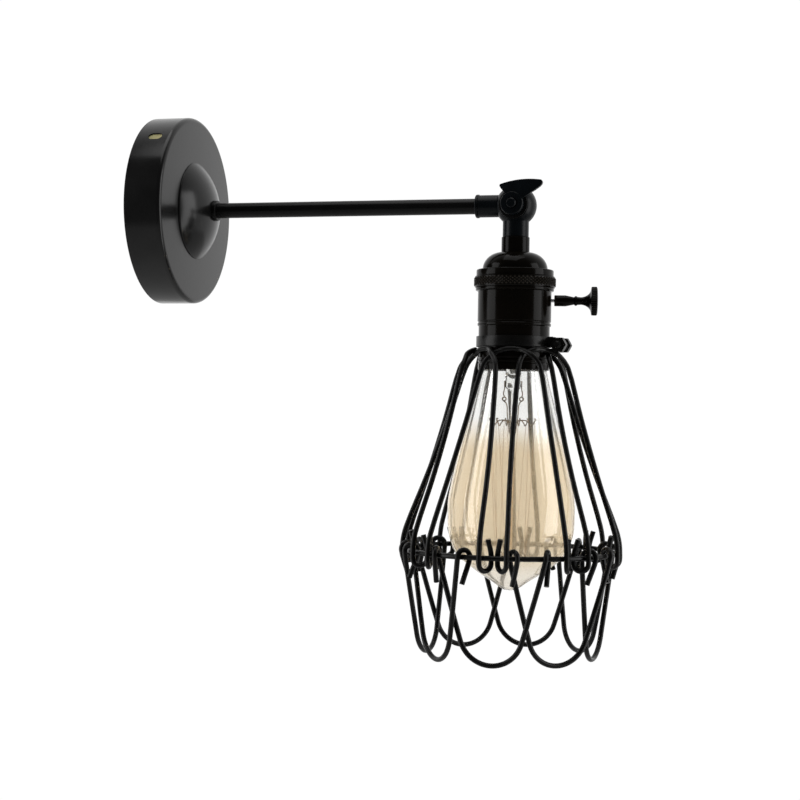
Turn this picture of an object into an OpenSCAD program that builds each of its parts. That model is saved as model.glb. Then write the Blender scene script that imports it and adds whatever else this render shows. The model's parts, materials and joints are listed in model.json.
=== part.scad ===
// Cage wall light: a round canopy, a straight arm, a swivel knuckle, a keyed lamp holder,
// a long pear-shaped filament bulb and a wire cage that clamps on the holder.
// The origin is on the wall, at the centre of the canopy. +X runs out of the wall along the arm,
// +Z is up, and the key and the clamp bolt are on the side away from the wall.

/* [Canopy] */
// Outer diameter of the canopy
canopy_d = 98.2; // [92:0.2:110]
// Depth from the wall to the canopy's face
canopy_depth = 20; // [18:0.5:24]
// Sheet thickness of the canopy
canopy_wall = 1.2; // [0.8:0.1:1.6]
// Radius of the rounded edge round the face
canopy_edge_r = 2.5; // [1.8:0.1:4]
// Diameter of the domed boss on the face
dome_d = 51.8; // [44:0.2:60]
// Height of the domed boss
dome_h = 10.5; // [8:0.5:13]
// Sheet thickness of the domed boss
dome_wall = 1; // [0.8:0.1:1.4]

/* [Wall strap] */
// Angle of the strap and the side slots, up from the viewer's side
strap_angle = 45; // [30:1:60]
// Width of the strap
strap_w = 22; // [20:1:26]
// Thickness of the strap
strap_t = 1.5; // [1.2:0.1:2]
// Distance between the two wall screws
wall_screw_spacing = 60; // [56:1:66]
// Diameter of the wall screw holes
wall_screw_hole_d = 5; // [4:0.5:5.5]
// Diameter of the hole for the supply cable
cable_hole_d = 11; // [9:0.5:12]
// Length of a side slot, along the canopy's depth
slot_len = 7.6; // [6:0.2:9]
// Width of a side slot
slot_w = 5; // [4:0.5:6]
// Distance from the wall to the middle of a side slot
slot_x = 10.5; // [9:0.5:12]

/* [Arm] */
// Outer diameter of the arm tube
arm_d = 8; // [7:0.2:9]
// Bore of the arm tube
arm_bore_d = 6; // [5.6:0.1:6.4]
// Distance from the wall to the lamp's axis
lamp_x = 193.2; // [170:0.2:240]
// Diameter of the ring nut that seats on the dome
ring_nut_d = 10.8; // [10.4:0.2:13]
// Length of the ring nut
ring_nut_len = 1.8; // [1.4:0.2:4]
// Size across flats of the hex nut inside the canopy
arm_nut_af = 13; // [12:0.5:15]
// Thickness of the hex nut inside the canopy
arm_nut_h = 4.5; // [3:0.5:5]
// Diameter of one wire core, over its sleeve
core_d = 1.8; // [1.5:0.1:1.9]

/* [Knuckle] */
// Diameter of the ball
ball_d = 20.8; // [20:0.2:24]
// Diameter of the collar on the arm
collar_d = 11.3; // [10.8:0.1:12.4]
// Distance from the ball's centre to the collar's open end
collar_reach = 20.6; // [19:0.2:26]
// Diameter of the stub that carries the lamp
stub_d = 13.2; // [12.4:0.2:13.8]
// Distance from the ball's centre to the stub's lower end
stub_drop = 15.9; // [15:0.1:18]
// Diameter of the pivot bolt
pivot_d = 5; // [4.5:0.1:5.4]
// Diameter of the pivot washer
washer_d = 14.8; // [13.6:0.2:15]
// Diameter of the thumb nut's boss
thumb_boss_d = 11.5; // [10:0.5:12.5]
// Length of the thumb nut's boss
thumb_boss_len = 4.2; // [3.8:0.2:6]
// Width of the thumb nut's leaf-shaped tab
leaf_w = 21.8; // [18:0.2:24]

/* [Lamp holder] */
// Diameter of the holder's neck
neck_d = 14.2; // [13.6:0.2:15]
// Length of the neck
neck_len = 7.8; // [6:0.2:10]
// Diameter of the domed cap
cap_d = 32.9; // [30:0.1:34]
// Height of the domed cap
cap_h = 8.9; // [8:0.1:11]
// How much wider the lip under the cap is than the upper body
cap_lip_step = 1.9; // [1.5:0.1:2.4]
// Height of the lip under the cap
cap_lip_h = 3.4; // [3:0.1:4]
// How much wider the knurled ring is than the lip
knurl_step = 2.5; // [1.6:0.1:4]
// Height of the knurled ring
knurl_h = 5.6; // [4.5:0.1:7]
// How much wider the upper body is than the lower one
body_step = 1.2; // [0.8:0.1:2]
// Height of the upper body, with its lip
body_h = 19.2; // [17:0.2:22]
// Height of the lower body
mouth_h = 22.4; // [20:0.2:26]
// Wall of the holder
holder_wall = 1; // [0.8:0.1:1.1]
// Wall of the porcelain liner round the screw shell
liner_wall = 1.55; // [1.3:0.05:1.8]
// Distance from the knurled ring down to the key's axis
key_drop = 6.2; // [5.6:0.1:7]
// Angle of the key round the holder, from straight out to the far side
key_angle = 10; // [0:1:30]
// Diameter of the key's disc
key_disc_d = 14.5; // [12:0.5:17]
// Length of the key, from the holder's side to the disc's face
key_len = 23.4; // [21:0.2:28]

/* [Bulb] */
// Widest diameter of the bulb's glass
bulb_d = 64; // [60:0.5:66]
// Length of the bulb over all
bulb_len = 140; // [136:1:144]
// Wall of the glass
glass_wall = 0.7; // [0.5:0.1:1]
// Outer diameter of the bulb's screw cap
bulb_cap_d = 26.2; // [25.8:0.1:26.4]

/* [Cage] */
// Diameter of the cage's wire
wire_d = 2.6; // [2:0.1:2.6]
// Radius of the middle ring, to the wire's centre
ring_r = 52; // [50:0.5:56]
// Distance from the clamp band's lower edge down to the ring
ring_drop = 102.6; // [96:0.2:108]
// Number of upper arches, and of lower petals
cage_count = 8; // [8]
// Turn of the arches' feet against the petals
arch_turn = 3; // [0:0.5:3]
// Turn of the arches' tops against their feet
arch_twist = 6; // [0:1:8]
// Half angle between an arch's two feet
arch_foot_angle = 40.5; // [40:0.5:41.5]
// Half angle between a petal's two hooks
petal_hook_angle = 31.5; // [31:0.5:33]
// Depth of a petal below the ring
petal_drop = 52.3; // [48:0.2:56]
// Radius of a petal's round end
petal_end_r = 16; // [15:0.5:17]
// How far a petal's end stands in from its hooks
petal_lean = 2; // [0:0.2:4]

/* [Clamp] */
// Height of the clamp band
band_h = 5.3; // [4.8:0.1:6]
// Thickness of the clamp band
band_t = 1; // [0.8:0.1:1.2]
// Distance from the holder's mouth up to the band's lower edge
band_rise = 11.6; // [10:0.2:13]
// Angle of the clamp's ears round the holder
ear_angle = -7; // [-15:1:0]
// Diameter of the clamp bolt
clamp_bolt_d = 3.6; // [3:0.1:4]

/* [Hidden] */
$fn = 64;

// Fits: a turning fit, a fixed fit, and the gap between faces that move past each other
turn_fit = 0.05;
fixed_fit = 0.1;
face_gap = 0.1;
hinge_gap = 0.35;

// Canopy, strap and arm
canopy_r = canopy_d / 2;
canopy_in_r = canopy_r - canopy_wall;
dome_r = dome_d / 2;
dome_sphere_r = (dome_r * dome_r + dome_h * dome_h) / (2 * dome_h);
dome_top_x = canopy_depth + dome_h;
strap_r = canopy_in_r - fixed_fit * 3;
strap_tab_len = slot_x + slot_len / 2 + 1.5;
arm_r = arm_d / 2;
arm_washer_h = 1;
arm_washer_x = canopy_depth - canopy_wall - arm_washer_h;
arm_nut_x = arm_washer_x - arm_nut_h;
arm_start_x = arm_nut_x - 1.5;
collar_bore_depth = 8;
arm_end_x = lamp_x - collar_reach + collar_bore_depth;
earth_screw_s = -17;

// Knuckle
ball_r = ball_d / 2;
sweep_r = ball_r + 0.35;
half_gap = 0.1;
cavity_r = 6.4;
cavity_h = 3.4;
seat_y = sqrt(ball_r * ball_r - pow(washer_d / 2 + 0.2, 2));
washer_h = 1.1;
washer_y = seat_y + face_gap;
nut_y = washer_y + washer_h + face_gap;
leaf_t = 2.3;
core_r = core_d / 2;
core_ring_r = arm_bore_d / 2 - core_r - 0.35;

// Lamp holder: each ring fits round the one inside it, from the bulb's screw cap outwards
screw_shell_r = bulb_cap_d / 2 + 0.8;
screw_shell_wall = 0.5;
liner_bore_r = screw_shell_r + screw_shell_wall + fixed_fit;
insulator_r = liner_bore_r + liner_wall;
liner_gap = 0.9;
liner_inset = 6;
mouth_d = 2 * (insulator_r + liner_gap + holder_wall);
body_d = mouth_d + body_step;
cap_lip_d = body_d + cap_lip_step;
knurl_d = cap_lip_d + knurl_step;

// Heights are measured down from the knuckle's centre
neck_z = -stub_drop;
cap_z = neck_z - neck_len;
lip_z = cap_z - cap_h;
knurl_z = lip_z - cap_lip_h;
shell_z = knurl_z - knurl_h;
step_z = shell_z - body_h;
mouth_z = step_z - mouth_h;
key_z = shell_z - key_drop;
shell_lip_h = 1.7;
shell_lip_d = body_d + 2.4;
thread_r = cap_lip_d / 2 - 2.1;
nipple_r = 5;
nipple_bore_r = 3.6;
nipple_top = -10.9;
nipple_nut_h = 3;
cap_ceiling = cap_z - 2.2;
nipple_end = cap_ceiling - nipple_nut_h - 0.8;
switch_top = shell_z + 3;
contact_z = key_z - 3.7;
key_shaft_r = 0.85;

// Bulb
bulb_top = contact_z - 2.7;
bulb_tip = bulb_top - bulb_len;
bulb_r = bulb_d / 2;
bulb_cap_z = bulb_top - 3.2;
bulb_cap_len = 21;
glass_top = bulb_cap_z - bulb_cap_len + 2;
glass_len = glass_top - bulb_tip;

// Clamp and cage
band_in_r = mouth_d / 2 + fixed_fit;
band_out_r = band_in_r + band_t;
band_z = mouth_z + band_rise;
ear_gap = 3;
ear_t = 1.2;
bolt_r = clamp_bolt_d / 2;
bolt_from_axis = band_out_r + 6;
bolt_z = band_z + band_h / 2 - 1.5;
clamp_af = 7;
wire_r = wire_d / 2;
ring_z = band_z - ring_drop;
pitch = 360 / cage_count;
wire_sides = 8;
arch_z = band_z - wire_r - 0.05;
arch_top_u = band_out_r + 0.5;
arch_half_w = 14.9;
arch_top_h = 13;
arch_shoulder_t = 75;
arch_shoulder_u = arch_top_u + 2.7;
arch_weave = wire_d;
arch_weave_from = 8;
arch_bow = 1.2;
arch_loop_r = (wire_d + fixed_fit) / cos(arch_foot_angle);
arch_loop_drop = 2.6;
arch_tail = 9;
petal_hook_r = (wire_d + hinge_gap) / cos(petal_hook_angle);
petal_u = ring_r * cos(petal_hook_angle);
petal_v = ring_r * sin(petal_hook_angle);
petal_tail = 13;
petal_weave = 1.5;

// ---- Small helpers ----

function unit(v) = v / norm(v);

// Points on a circle in a plane, from angle a0 to a1 in n steps
function arc(c, r, a0, a1, n) =
    [for (i = [0 : n]) let (a = a0 + (a1 - a0) * i / n) [c[0] + r * cos(a), c[1] + r * sin(a)]];

// A smooth curve through the stations p, with n steps between each pair
function station(p, i) = p[max(0, min(len(p) - 1, i))];
function spline_point(a, b, c, d, t) =
    0.5 * (2 * b + (c - a) * t + (2 * a - 5 * b + 4 * c - d) * t * t
        + (3 * b - a - 3 * c + d) * t * t * t);
function smooth(p, n) = concat(
    [for (i = [0 : len(p) - 2]) for (j = [0 : n - 1])
        spline_point(station(p, i - 1), p[i], p[i + 1], station(p, i + 2), j / n)],
    [p[len(p) - 1]]);

// A bend from a by way of b to c
function bend(a, b, c, n) =
    [for (i = [0 : n]) let (t = i / n) (1 - t) * (1 - t) * a + 2 * t * (1 - t) * b + t * t * c];

function reversed(p) = [for (i = [len(p) - 1 : -1 : 0]) p[i]];

// The directions along a route, and one sideways direction carried along it without twist
function along(p) = [for (i = [0 : len(p) - 1])
    unit(p[min(i + 1, len(p) - 1)] - p[max(i - 1, 0)])];
function sideways(t, n, i = 0) =
    let (m = unit(n - (n * t[i]) * t[i]))
    i == len(t) - 1 ? [m] : concat([m], sideways(t, m, i + 1));

// A round wire of radius r bent along the route p
module bent_wire(p, r, sides = wire_sides) {
    t = along(p);
    first = abs(t[0][2]) < 0.9 ? [0, 0, 1] : [1, 0, 0];
    n = sideways(t, first);
    rings = [for (i = [0 : len(p) - 1]) for (j = [0 : sides - 1])
        let (a = 360 * j / sides)
        p[i] + r * (cos(a) * n[i] + sin(a) * cross(t[i], n[i]))];
    walls = [for (i = [0 : len(p) - 2]) for (j = [0 : sides - 1])
        let (k = (j + 1) % sides, a = i * sides, b = (i + 1) * sides)
        each [[a + j, b + j, b + k], [a + j, b + k, a + k]]];
    start = [for (j = [0 : sides - 1]) j];
    end = [for (j = [sides - 1 : -1 : 0]) (len(p) - 1) * sides + j];
    polyhedron(points = rings, faces = concat([start], walls, [end]));
}

module along_x(x) {
    translate([x, 0, 0])
        rotate([0, 90, 0])
            children();
}

module tube(h, r_out, r_in) {
    difference() {
        cylinder(h = h, r = r_out);
        translate([0, 0, -1])
            cylinder(h = h + 2, r = r_in);
    }
}

module hex_nut(af, h, hole_r) {
    difference() {
        cylinder(h = h, r = af / sqrt(3), $fn = 6);
        translate([0, 0, -1])
            cylinder(h = h + 2, r = hole_r);
    }
}

// The lamp hangs from the knuckle's centre
module at_lamp() {
    translate([lamp_x, 0, 0])
        children();
}

// The strap's own frame: its length along local X, its width along local Y, the wall at Z = 0
module at_strap() {
    rotate([-strap_angle, 0, 0])
        rotate([0, 90, 0])
            rotate([0, 0, -90])
                children();
}

// A place in the strap's frame, as a point of the whole light
function from_strap(s, w, x) = [
    x,
    -s * cos(strap_angle) - w * sin(strap_angle),
    s * sin(strap_angle) - w * cos(strap_angle)
];

// ---- Wall side ----

module slot_shape(len_, w, depth) {
    for (x = [-1, 1])
        translate([0, 0, x * (len_ - w) / 2])
            rotate([0, 90, 0])
                cylinder(h = depth, r = w / 2);
    translate([0, -w / 2, -(len_ - w) / 2])
        cube([depth, w, len_ - w]);
}

module wall_strap() {
    tab_r = strap_r - strap_t;
    color([0.53, 0.5, 0.3])
        at_strap() {
            difference() {
                union() {
                    intersection() {
                        translate([-canopy_r, -strap_w / 2, 0])
                            cube([canopy_d, strap_w, strap_t]);
                        cylinder(h = strap_t, r = strap_r);
                    }
                    intersection() {
                        tube(strap_tab_len, strap_r, tab_r);
                        translate([-canopy_r, -strap_w / 2, 0])
                            cube([canopy_d, strap_w, strap_tab_len]);
                    }
                    for (end = [0, 180])
                        rotate([0, 0, end])
                            translate([tab_r + strap_t / 2, 0, slot_x])
                                slot_shape(slot_len - 2 * fixed_fit, slot_w - 2 * fixed_fit,
                                    canopy_in_r + canopy_wall / 2 - tab_r - strap_t / 2);
                }
                for (s = [-1, 1])
                    translate([s * wall_screw_spacing / 2, 0, -1])
                        cylinder(h = strap_t + 2, r = wall_screw_hole_d / 2);
                translate([0, 0, -1])
                    cylinder(h = strap_t + 2, r = cable_hole_d / 2);
                translate([earth_screw_s, 0, -1])
                    cylinder(h = strap_t + 2, r = 2);
            }
        }
}

module wall_canopy() {
    outer = concat([[canopy_r, 0]],
        arc([canopy_r - canopy_edge_r, canopy_depth - canopy_edge_r], canopy_edge_r, 0, 90, 8),
        [[arm_r + fixed_fit, canopy_depth]]);
    inner_edge = canopy_edge_r - canopy_wall;
    inner = concat([[arm_r + fixed_fit, canopy_depth - canopy_wall]],
        arc([canopy_r - canopy_edge_r, canopy_depth - canopy_edge_r], inner_edge, 90, 0, 6),
        [[canopy_in_r, 0]]);
    color([0.15, 0.15, 0.16])
        difference() {
            along_x(0)
                rotate_extrude()
                    polygon(concat(outer, inner));
            at_strap()
                for (end = [0, 180])
                    rotate([0, 0, end])
                        translate([canopy_in_r - 2, 0, slot_x])
                            slot_shape(slot_len, slot_w, canopy_wall + 4);
        }
}

module canopy_dome() {
    bore = arm_r + fixed_fit;
    seat_r = ring_nut_d / 2 + 0.2;
    centre = dome_h - dome_sphere_r;
    inner_r = dome_sphere_r - dome_wall;
    // Outside from the rim up to the flat that the ring nut seats on, and back down inside
    outer = arc([0, centre], dome_sphere_r, asin(-centre / dome_sphere_r),
        acos(seat_r / dome_sphere_r), 14);
    inner = arc([0, centre], inner_r, acos(bore / inner_r), asin(-centre / inner_r), 14);
    color([0.14, 0.14, 0.15])
        along_x(canopy_depth)
            rotate_extrude()
                polygon(concat(outer, [[seat_r, dome_h - 0.4], [bore, dome_h - 0.4]], inner));
}

block_s = 9.2;
block_len = 14;
block_w = 20;
block_h = 12;
block_pole = 6.4;

module terminal_block() {
    color([0.86, 0.85, 0.8])
        at_strap()
            translate([block_s, 0, strap_t])
                difference() {
                    union() {
                        translate([0, -block_w / 2, 0])
                            cube([block_len, block_w, block_h * 0.62]);
                        for (pole = [-1 : 1])
                            translate([0, pole * block_pole - 2.6, 0])
                                cube([block_len, 5.2, block_h]);
                    }
                    for (pole = [-1 : 1]) {
                        // Wire entries right through, and two clamp screw wells
                        translate([-1, pole * block_pole, block_h / 3])
                            rotate([0, 90, 0])
                                cylinder(h = block_len + 2, r = core_r + 0.15);
                        for (well = [block_len / 4, block_len * 3 / 4])
                            translate([well, pole * block_pole, block_h * 0.7])
                                cylinder(h = block_h, r = 1.8);
                    }
                }
}

module earth_screw() {
    color([0.72, 0.6, 0.3])
        at_strap()
            translate([earth_screw_s, 0, 0]) {
                translate([0, 0, 0.2])
                    cylinder(h = strap_t + 2.2, r = 1.95);
                translate([0, 0, strap_t])
                    tube(0.7, 4.2, 2.2);
                difference() {
                    translate([0, 0, strap_t + 2.3])
                        cylinder(h = 2, r = 3.6);
                    translate([-4, -0.4, strap_t + 3.3])
                        cube([8, 0.8, 2]);
                }
            }
}

// A core leaves its pole or screw, turns into the tube and runs to the knuckle
core_end_x = lamp_x - sweep_r - 0.4;

function in_tube(angle, x) = [x, core_ring_r * cos(angle), core_ring_r * sin(angle)];

function block_core(pole, angle) = smooth([
    from_strap(block_s + block_len / 2, pole * block_pole, strap_t + block_h / 3),
    from_strap(block_s, pole * block_pole, strap_t + block_h / 3),
    from_strap(block_s - 2.5, pole * block_pole * 0.8, strap_t + block_h / 3),
    (from_strap(3, pole * block_pole * 0.45, arm_start_x - 4) + in_tube(angle, arm_start_x - 4)) / 2,
    in_tube(angle, arm_start_x + 2),
    in_tube(angle, arm_start_x + 16),
    in_tube(angle, core_end_x)
], 4);

module live_wire() {
    color([0.42, 0.22, 0.12])
        bent_wire(block_core(-1, strap_angle + 210), core_r);
}

module neutral_wire() {
    color([0.16, 0.32, 0.66])
        bent_wire(block_core(1, strap_angle + 90), core_r);
}

module earth_wire() {
    ring_h = strap_t + 0.7 + core_r;
    color([0.5, 0.62, 0.2])
        bent_wire(smooth([
            from_strap(earth_screw_s + 2, -3.2, ring_h),
            from_strap(earth_screw_s + 5, -3.2, ring_h + 0.5),
            from_strap(-7, -1, ring_h + 1.6),
            from_strap(-3, 0, arm_start_x - 3),
            in_tube(strap_angle - 30, arm_start_x + 2),
            in_tube(strap_angle - 30, arm_start_x + 16),
            in_tube(strap_angle - 30, core_end_x)
        ], 4), core_r);
}

module arm_lock_washer() {
    color([0.75, 0.75, 0.77])
        along_x(arm_washer_x)
            tube(arm_washer_h, arm_nut_af / 2 + 1.5, arm_r + fixed_fit);
}

module arm_lock_nut() {
    color([0.75, 0.75, 0.77])
        along_x(arm_nut_x)
            hex_nut(arm_nut_af, arm_nut_h, arm_r + turn_fit);
}

module arm_ring_nut() {
    edge = 0.4;
    r = ring_nut_d / 2;
    bore = arm_r + turn_fit;
    color([0.1, 0.1, 0.11])
        along_x(dome_top_x - 0.4)
            rotate_extrude()
                polygon([[bore, 0], [r, 0], [r, ring_nut_len - edge + 0.4],
                    [r - edge, ring_nut_len + 0.4], [bore, ring_nut_len + 0.4]]);
}

module arm_tube() {
    color([0.11, 0.11, 0.12])
        along_x(arm_start_x)
            tube(arm_end_x - arm_start_x, arm_r, arm_bore_d / 2);
}

// ---- Knuckle ----

// Everything on one side of the split face, out to the ball's swept radius
module swept_by_other_half(side) {
    translate([0, side * half_gap, 0])
        rotate([side * -90, 0, 0])
            translate([0, 0, -2 * half_gap])
                cylinder(h = ball_d, r = sweep_r);
}

module half_ball(side) {
    intersection() {
        sphere(r = ball_r);
        translate([0, side * half_gap, 0])
            rotate([side * -90, 0, 0])
                cylinder(h = ball_d, r = ball_d);
    }
}

module pivot_hollow(side) {
    rotate([side * -90, 0, 0]) {
        cylinder(h = cavity_h, r = cavity_r);
        translate([0, 0, -1])
            cylinder(h = ball_d, r = pivot_d / 2 + turn_fit);
        translate([0, 0, seat_y])
            cylinder(h = ball_d, r = ball_r);
    }
}

module knuckle_arm_half() {
    bead = 0.35;
    collar_r = collar_d / 2;
    color([0.13, 0.14, 0.16])
        at_lamp()
            difference() {
                union() {
                    half_ball(1);
                    difference() {
                        along_x(-collar_reach)
                            rotate_extrude()
                                polygon([[0, 0], [collar_r + bead - 0.3, 0], [collar_r + bead, 0.3],
                                    [collar_r + bead, 1.3], [collar_r, 1.7],
                                    [collar_r, collar_reach - 4], [0, collar_reach - 4]]);
                        swept_by_other_half(-1);
                    }
                }
                pivot_hollow(1);
                along_x(-collar_reach - 1)
                    cylinder(h = collar_bore_depth + 1, r = arm_r + turn_fit);
                along_x(-collar_reach)
                    cylinder(h = collar_reach - 3, r = arm_bore_d / 2);
            }
}

module knuckle_lamp_half() {
    color([0.13, 0.14, 0.16])
        at_lamp()
            difference() {
                union() {
                    half_ball(-1);
                    difference() {
                        translate([0, 0, -stub_drop])
                            cylinder(h = stub_drop - 4, r = stub_d / 2);
                        swept_by_other_half(1);
                    }
                }
                pivot_hollow(-1);
                translate([0, 0, -stub_drop - 1])
                    cylinder(h = stub_drop + nipple_top + 1, r = nipple_r + turn_fit);
                translate([0, 0, -stub_drop])
                    cylinder(h = stub_drop - 3, r = nipple_bore_r);
            }
}

pivot_head_h = 2.2;
pivot_head_r = washer_d / 2 - 2.2;
pivot_tip_y = nut_y + thumb_boss_len + 0.9;

module pivot_bolt() {
    r = pivot_d / 2;
    color([0.2, 0.2, 0.21])
        at_lamp()
            translate([0, seat_y, 0])
                rotate([90, 0, 0])
                    difference() {
                        union() {
                            translate([0, 0, -pivot_head_h])
                                cylinder(h = pivot_head_h, r1 = pivot_head_r - 1, r2 = pivot_head_r);
                            translate([0, 0, -0.5])
                                cylinder(h = seat_y + pivot_tip_y, r = r);
                            translate([0, 0, seat_y + pivot_tip_y - 0.6])
                                cylinder(h = 0.5, r1 = r, r2 = r - 0.5);
                        }
                        translate([-washer_d / 2, -0.5, -pivot_head_h - 1])
                            cube([washer_d, 1, 2]);
                    }
}

module pivot_washer() {
    color([0.08, 0.08, 0.09])
        at_lamp()
            translate([0, -washer_y, 0])
                rotate([90, 0, 0])
                    tube(washer_h, washer_d / 2, pivot_d / 2 + turn_fit);
}

// The tab is a leaf: a long crowned top edge over a round left tip and a swept right flank
module leaf_outline() {
    left = -0.285 * leaf_w;
    right = left + leaf_w;
    top_r = leaf_w * 2;
    boss_r = thumb_boss_d / 2;
    intersection() {
        translate([leaf_w * 0.38, boss_r + 6.1 - top_r])
            circle(r = top_r, $fn = 360);
        polygon([[-boss_r * 0.45, boss_r * 0.7], [left + 0.75, boss_r + 1.55], [left, boss_r + 2.8],
            [left + 0.3, boss_r + 3.7], [left + 1.3, boss_r + 4.5], [left + leaf_w * 0.5, boss_r + 7],
            [right - 0.6, boss_r + 5.6], [right, boss_r + 4.4], [right - 0.3, boss_r + 3.3],
            [right - 1.2, boss_r + 2.3], [right - 3.6, boss_r + 0.6], [right - 5.4, boss_r - 0.5],
            [boss_r * 0.9, boss_r * 0.35]]);
    }
}

module thumb_nut() {
    boss_r = thumb_boss_d / 2;
    edge = 0.5;
    bore = pivot_d / 2 + turn_fit;
    color([0.12, 0.12, 0.13])
        at_lamp()
            translate([0, -nut_y, 0])
                rotate([90, 0, 0])
                    difference() {
                        union() {
                            rotate_extrude()
                                polygon([[0, 0], [boss_r, 0], [boss_r, thumb_boss_len - edge],
                                    [boss_r - edge, thumb_boss_len], [0, thumb_boss_len]]);
                            translate([0, 0, thumb_boss_len - leaf_t - 0.2])
                                linear_extrude(height = leaf_t)
                                    leaf_outline();
                        }
                        translate([0, 0, -1])
                            cylinder(h = thumb_boss_len + 2, r = bore);
                    }
}

// ---- Lamp holder ----

module holder_nipple() {
    color([0.72, 0.6, 0.35])
        at_lamp()
            translate([0, 0, nipple_end])
                tube(nipple_top - nipple_end - 0.2, nipple_r, nipple_bore_r - 0.6);
}

module nipple_nut() {
    color([0.72, 0.6, 0.35])
        at_lamp()
            translate([0, 0, cap_ceiling - nipple_nut_h])
                hex_nut(14, nipple_nut_h, nipple_r + turn_fit);
}

module holder_cap() {
    neck_r = neck_d / 2;
    cap_r = cap_d / 2;
    lip_r = cap_lip_d / 2;
    bore = nipple_r + turn_fit;
    rise = [for (a = [90 : -9 : 0])
        [neck_r + (cap_r - neck_r) * cos(a), lip_z + cap_h * sin(a)]];
    hollow = [for (a = [0 : 10 : 90])
        [neck_r + 2 + (cap_r - holder_wall - neck_r - 2) * cos(a),
            lip_z + (cap_ceiling - lip_z) * sin(a)]];
    color([0.05, 0.05, 0.05])
        at_lamp()
            rotate_extrude()
                polygon(concat(
                    [[bore, neck_z], [neck_r - 0.3, neck_z], [neck_r, neck_z - 0.3]],
                    rise,
                    [[lip_r - 0.6, lip_z], [lip_r, lip_z - 0.6], [lip_r, knurl_z + 0.3],
                        [lip_r - 0.3, knurl_z], [thread_r + fixed_fit, knurl_z],
                        [thread_r + fixed_fit, lip_z - 0.8], [cap_r - holder_wall, lip_z - 0.8]],
                    hollow,
                    [[bore, cap_ceiling]]));
}

module knurled_ring() {
    r = knurl_d / 2;
    edge = 0.6;
    color([0.05, 0.05, 0.05])
        at_lamp()
            translate([0, 0, shell_z])
                rotate_extrude()
                    polygon([[thread_r + fixed_fit, 0], [r - edge, 0], [r, edge],
                        [r, knurl_h - edge], [r - edge, knurl_h], [thread_r + fixed_fit, knurl_h]]);
}

module holder_shell() {
    lip_r = shell_lip_d / 2;
    body_r = body_d / 2;
    mouth_r = mouth_d / 2;
    groove = 0.3;
    function ring_groove(r, z) =
        [[r, z + 0.5], [r - groove, z + 0.25], [r - groove, z - 0.25], [r, z - 0.5]];
    outer = concat(
        [[thread_r, knurl_z + 2], [thread_r, shell_z], [lip_r - 0.3, shell_z],
            [lip_r, shell_z - 0.3], [lip_r, shell_z - shell_lip_h + 0.5],
            [body_r, shell_z - shell_lip_h]],
        ring_groove(body_r, step_z + 1.6),
        [[body_r, step_z], [mouth_r, step_z - 0.4]],
        ring_groove(mouth_r, mouth_z + 5.6),
        ring_groove(mouth_r, mouth_z + 3.6),
        [[mouth_r, mouth_z + 0.4], [mouth_r - 0.4, mouth_z]]);
    inner = [[mouth_r - holder_wall, mouth_z], [mouth_r - holder_wall, step_z - 0.4],
        [body_r - holder_wall - 0.6, step_z + 0.4], [body_r - holder_wall - 0.6, shell_z - 1.5],
        [thread_r - holder_wall, shell_z - 1.2], [thread_r - holder_wall, knurl_z + 2]];
    color([0.05, 0.05, 0.05])
        at_lamp()
            difference() {
                rotate_extrude()
                    polygon(concat(outer, inner));
                translate([0, 0, key_z])
                    rotate([0, 90, key_angle])
                        cylinder(h = body_d, r = key_shaft_r + 0.35);
            }
}

switch_gap = 0.9;
terminal_pocket_r = 2.4;

module switch_body() {
    r = thread_r - holder_wall - switch_gap;
    color([0.2, 0.13, 0.1])
        at_lamp()
            difference() {
                translate([0, 0, contact_z])
                    cylinder(h = switch_top - contact_z, r = r);
                translate([0, 0, key_z])
                    rotate([0, 90, key_angle])
                        cylinder(h = body_d, r = key_shaft_r + turn_fit);
                // Two terminal screw pockets on the top
                for (side = [-1, 1])
                    translate([0, side * r * 0.6, switch_top - terminal_pocket_r])
                        cylinder(h = 2 * terminal_pocket_r, r = terminal_pocket_r);
            }
}

module at_key() {
    at_lamp()
        translate([0, 0, key_z])
            rotate([0, 90, key_angle])
                children();
}

key_start = body_d / 2 + 1.4;
key_end = body_d / 2 + key_len;

module switch_shaft() {
    color([0.6, 0.6, 0.62])
        at_key()
            translate([0, 0, 3])
                cylinder(h = key_start + 3.5 - 3, r = key_shaft_r);
}

module switch_key() {
    disc_r = key_disc_d / 2;
    disc_t = 3.6;
    waist = 1.9;
    flare_z = key_end - disc_t;
    flare_h = 5.4;
    barrel = 2.8;
    barrel_end = key_start + 6;
    bead_z = flare_z - flare_h - 2.2;
    rim_r = disc_r - 0.8;
    edge_r = disc_r - 0.6;
    edge_z = key_end - 0.35;
    flare = [for (t = [0 : 0.1 : 1])
        [waist + (rim_r - waist) * (1 - sqrt(1 - t * t)), flare_z - flare_h * (1 - t)]];
    face = [for (t = [0.8 : -0.2 : 0]) [edge_r * t, key_end - 0.35 * t * t]];
    color([0.07, 0.07, 0.07])
        at_key()
            difference() {
                rotate_extrude()
                    polygon(concat(
                        [[0, key_start], [barrel - 0.3, key_start], [barrel, key_start + 0.3],
                            [barrel, barrel_end], [waist - 0.05, bead_z - 0.8]],
                        arc([waist - 0.3, bead_z], 0.9, -60, 60, 6),
                        flare,
                        [[disc_r, flare_z + 0.5], [disc_r, key_end - 0.9], [edge_r, edge_z]],
                        face));
                translate([0, 0, key_start - 1])
                    cylinder(h = 4.6, r = key_shaft_r + 0.02);
            }
}

module centre_contact() {
    color([0.8, 0.64, 0.3])
        at_lamp()
            translate([0, 0, contact_z]) {
                translate([0, 0, -0.8])
                    cylinder(h = 0.8, r = 3.4);
                translate([0, 0, -2.6])
                    cylinder(h = 2.2, r1 = 1.4, r2 = 2.2);
            }
}

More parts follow.
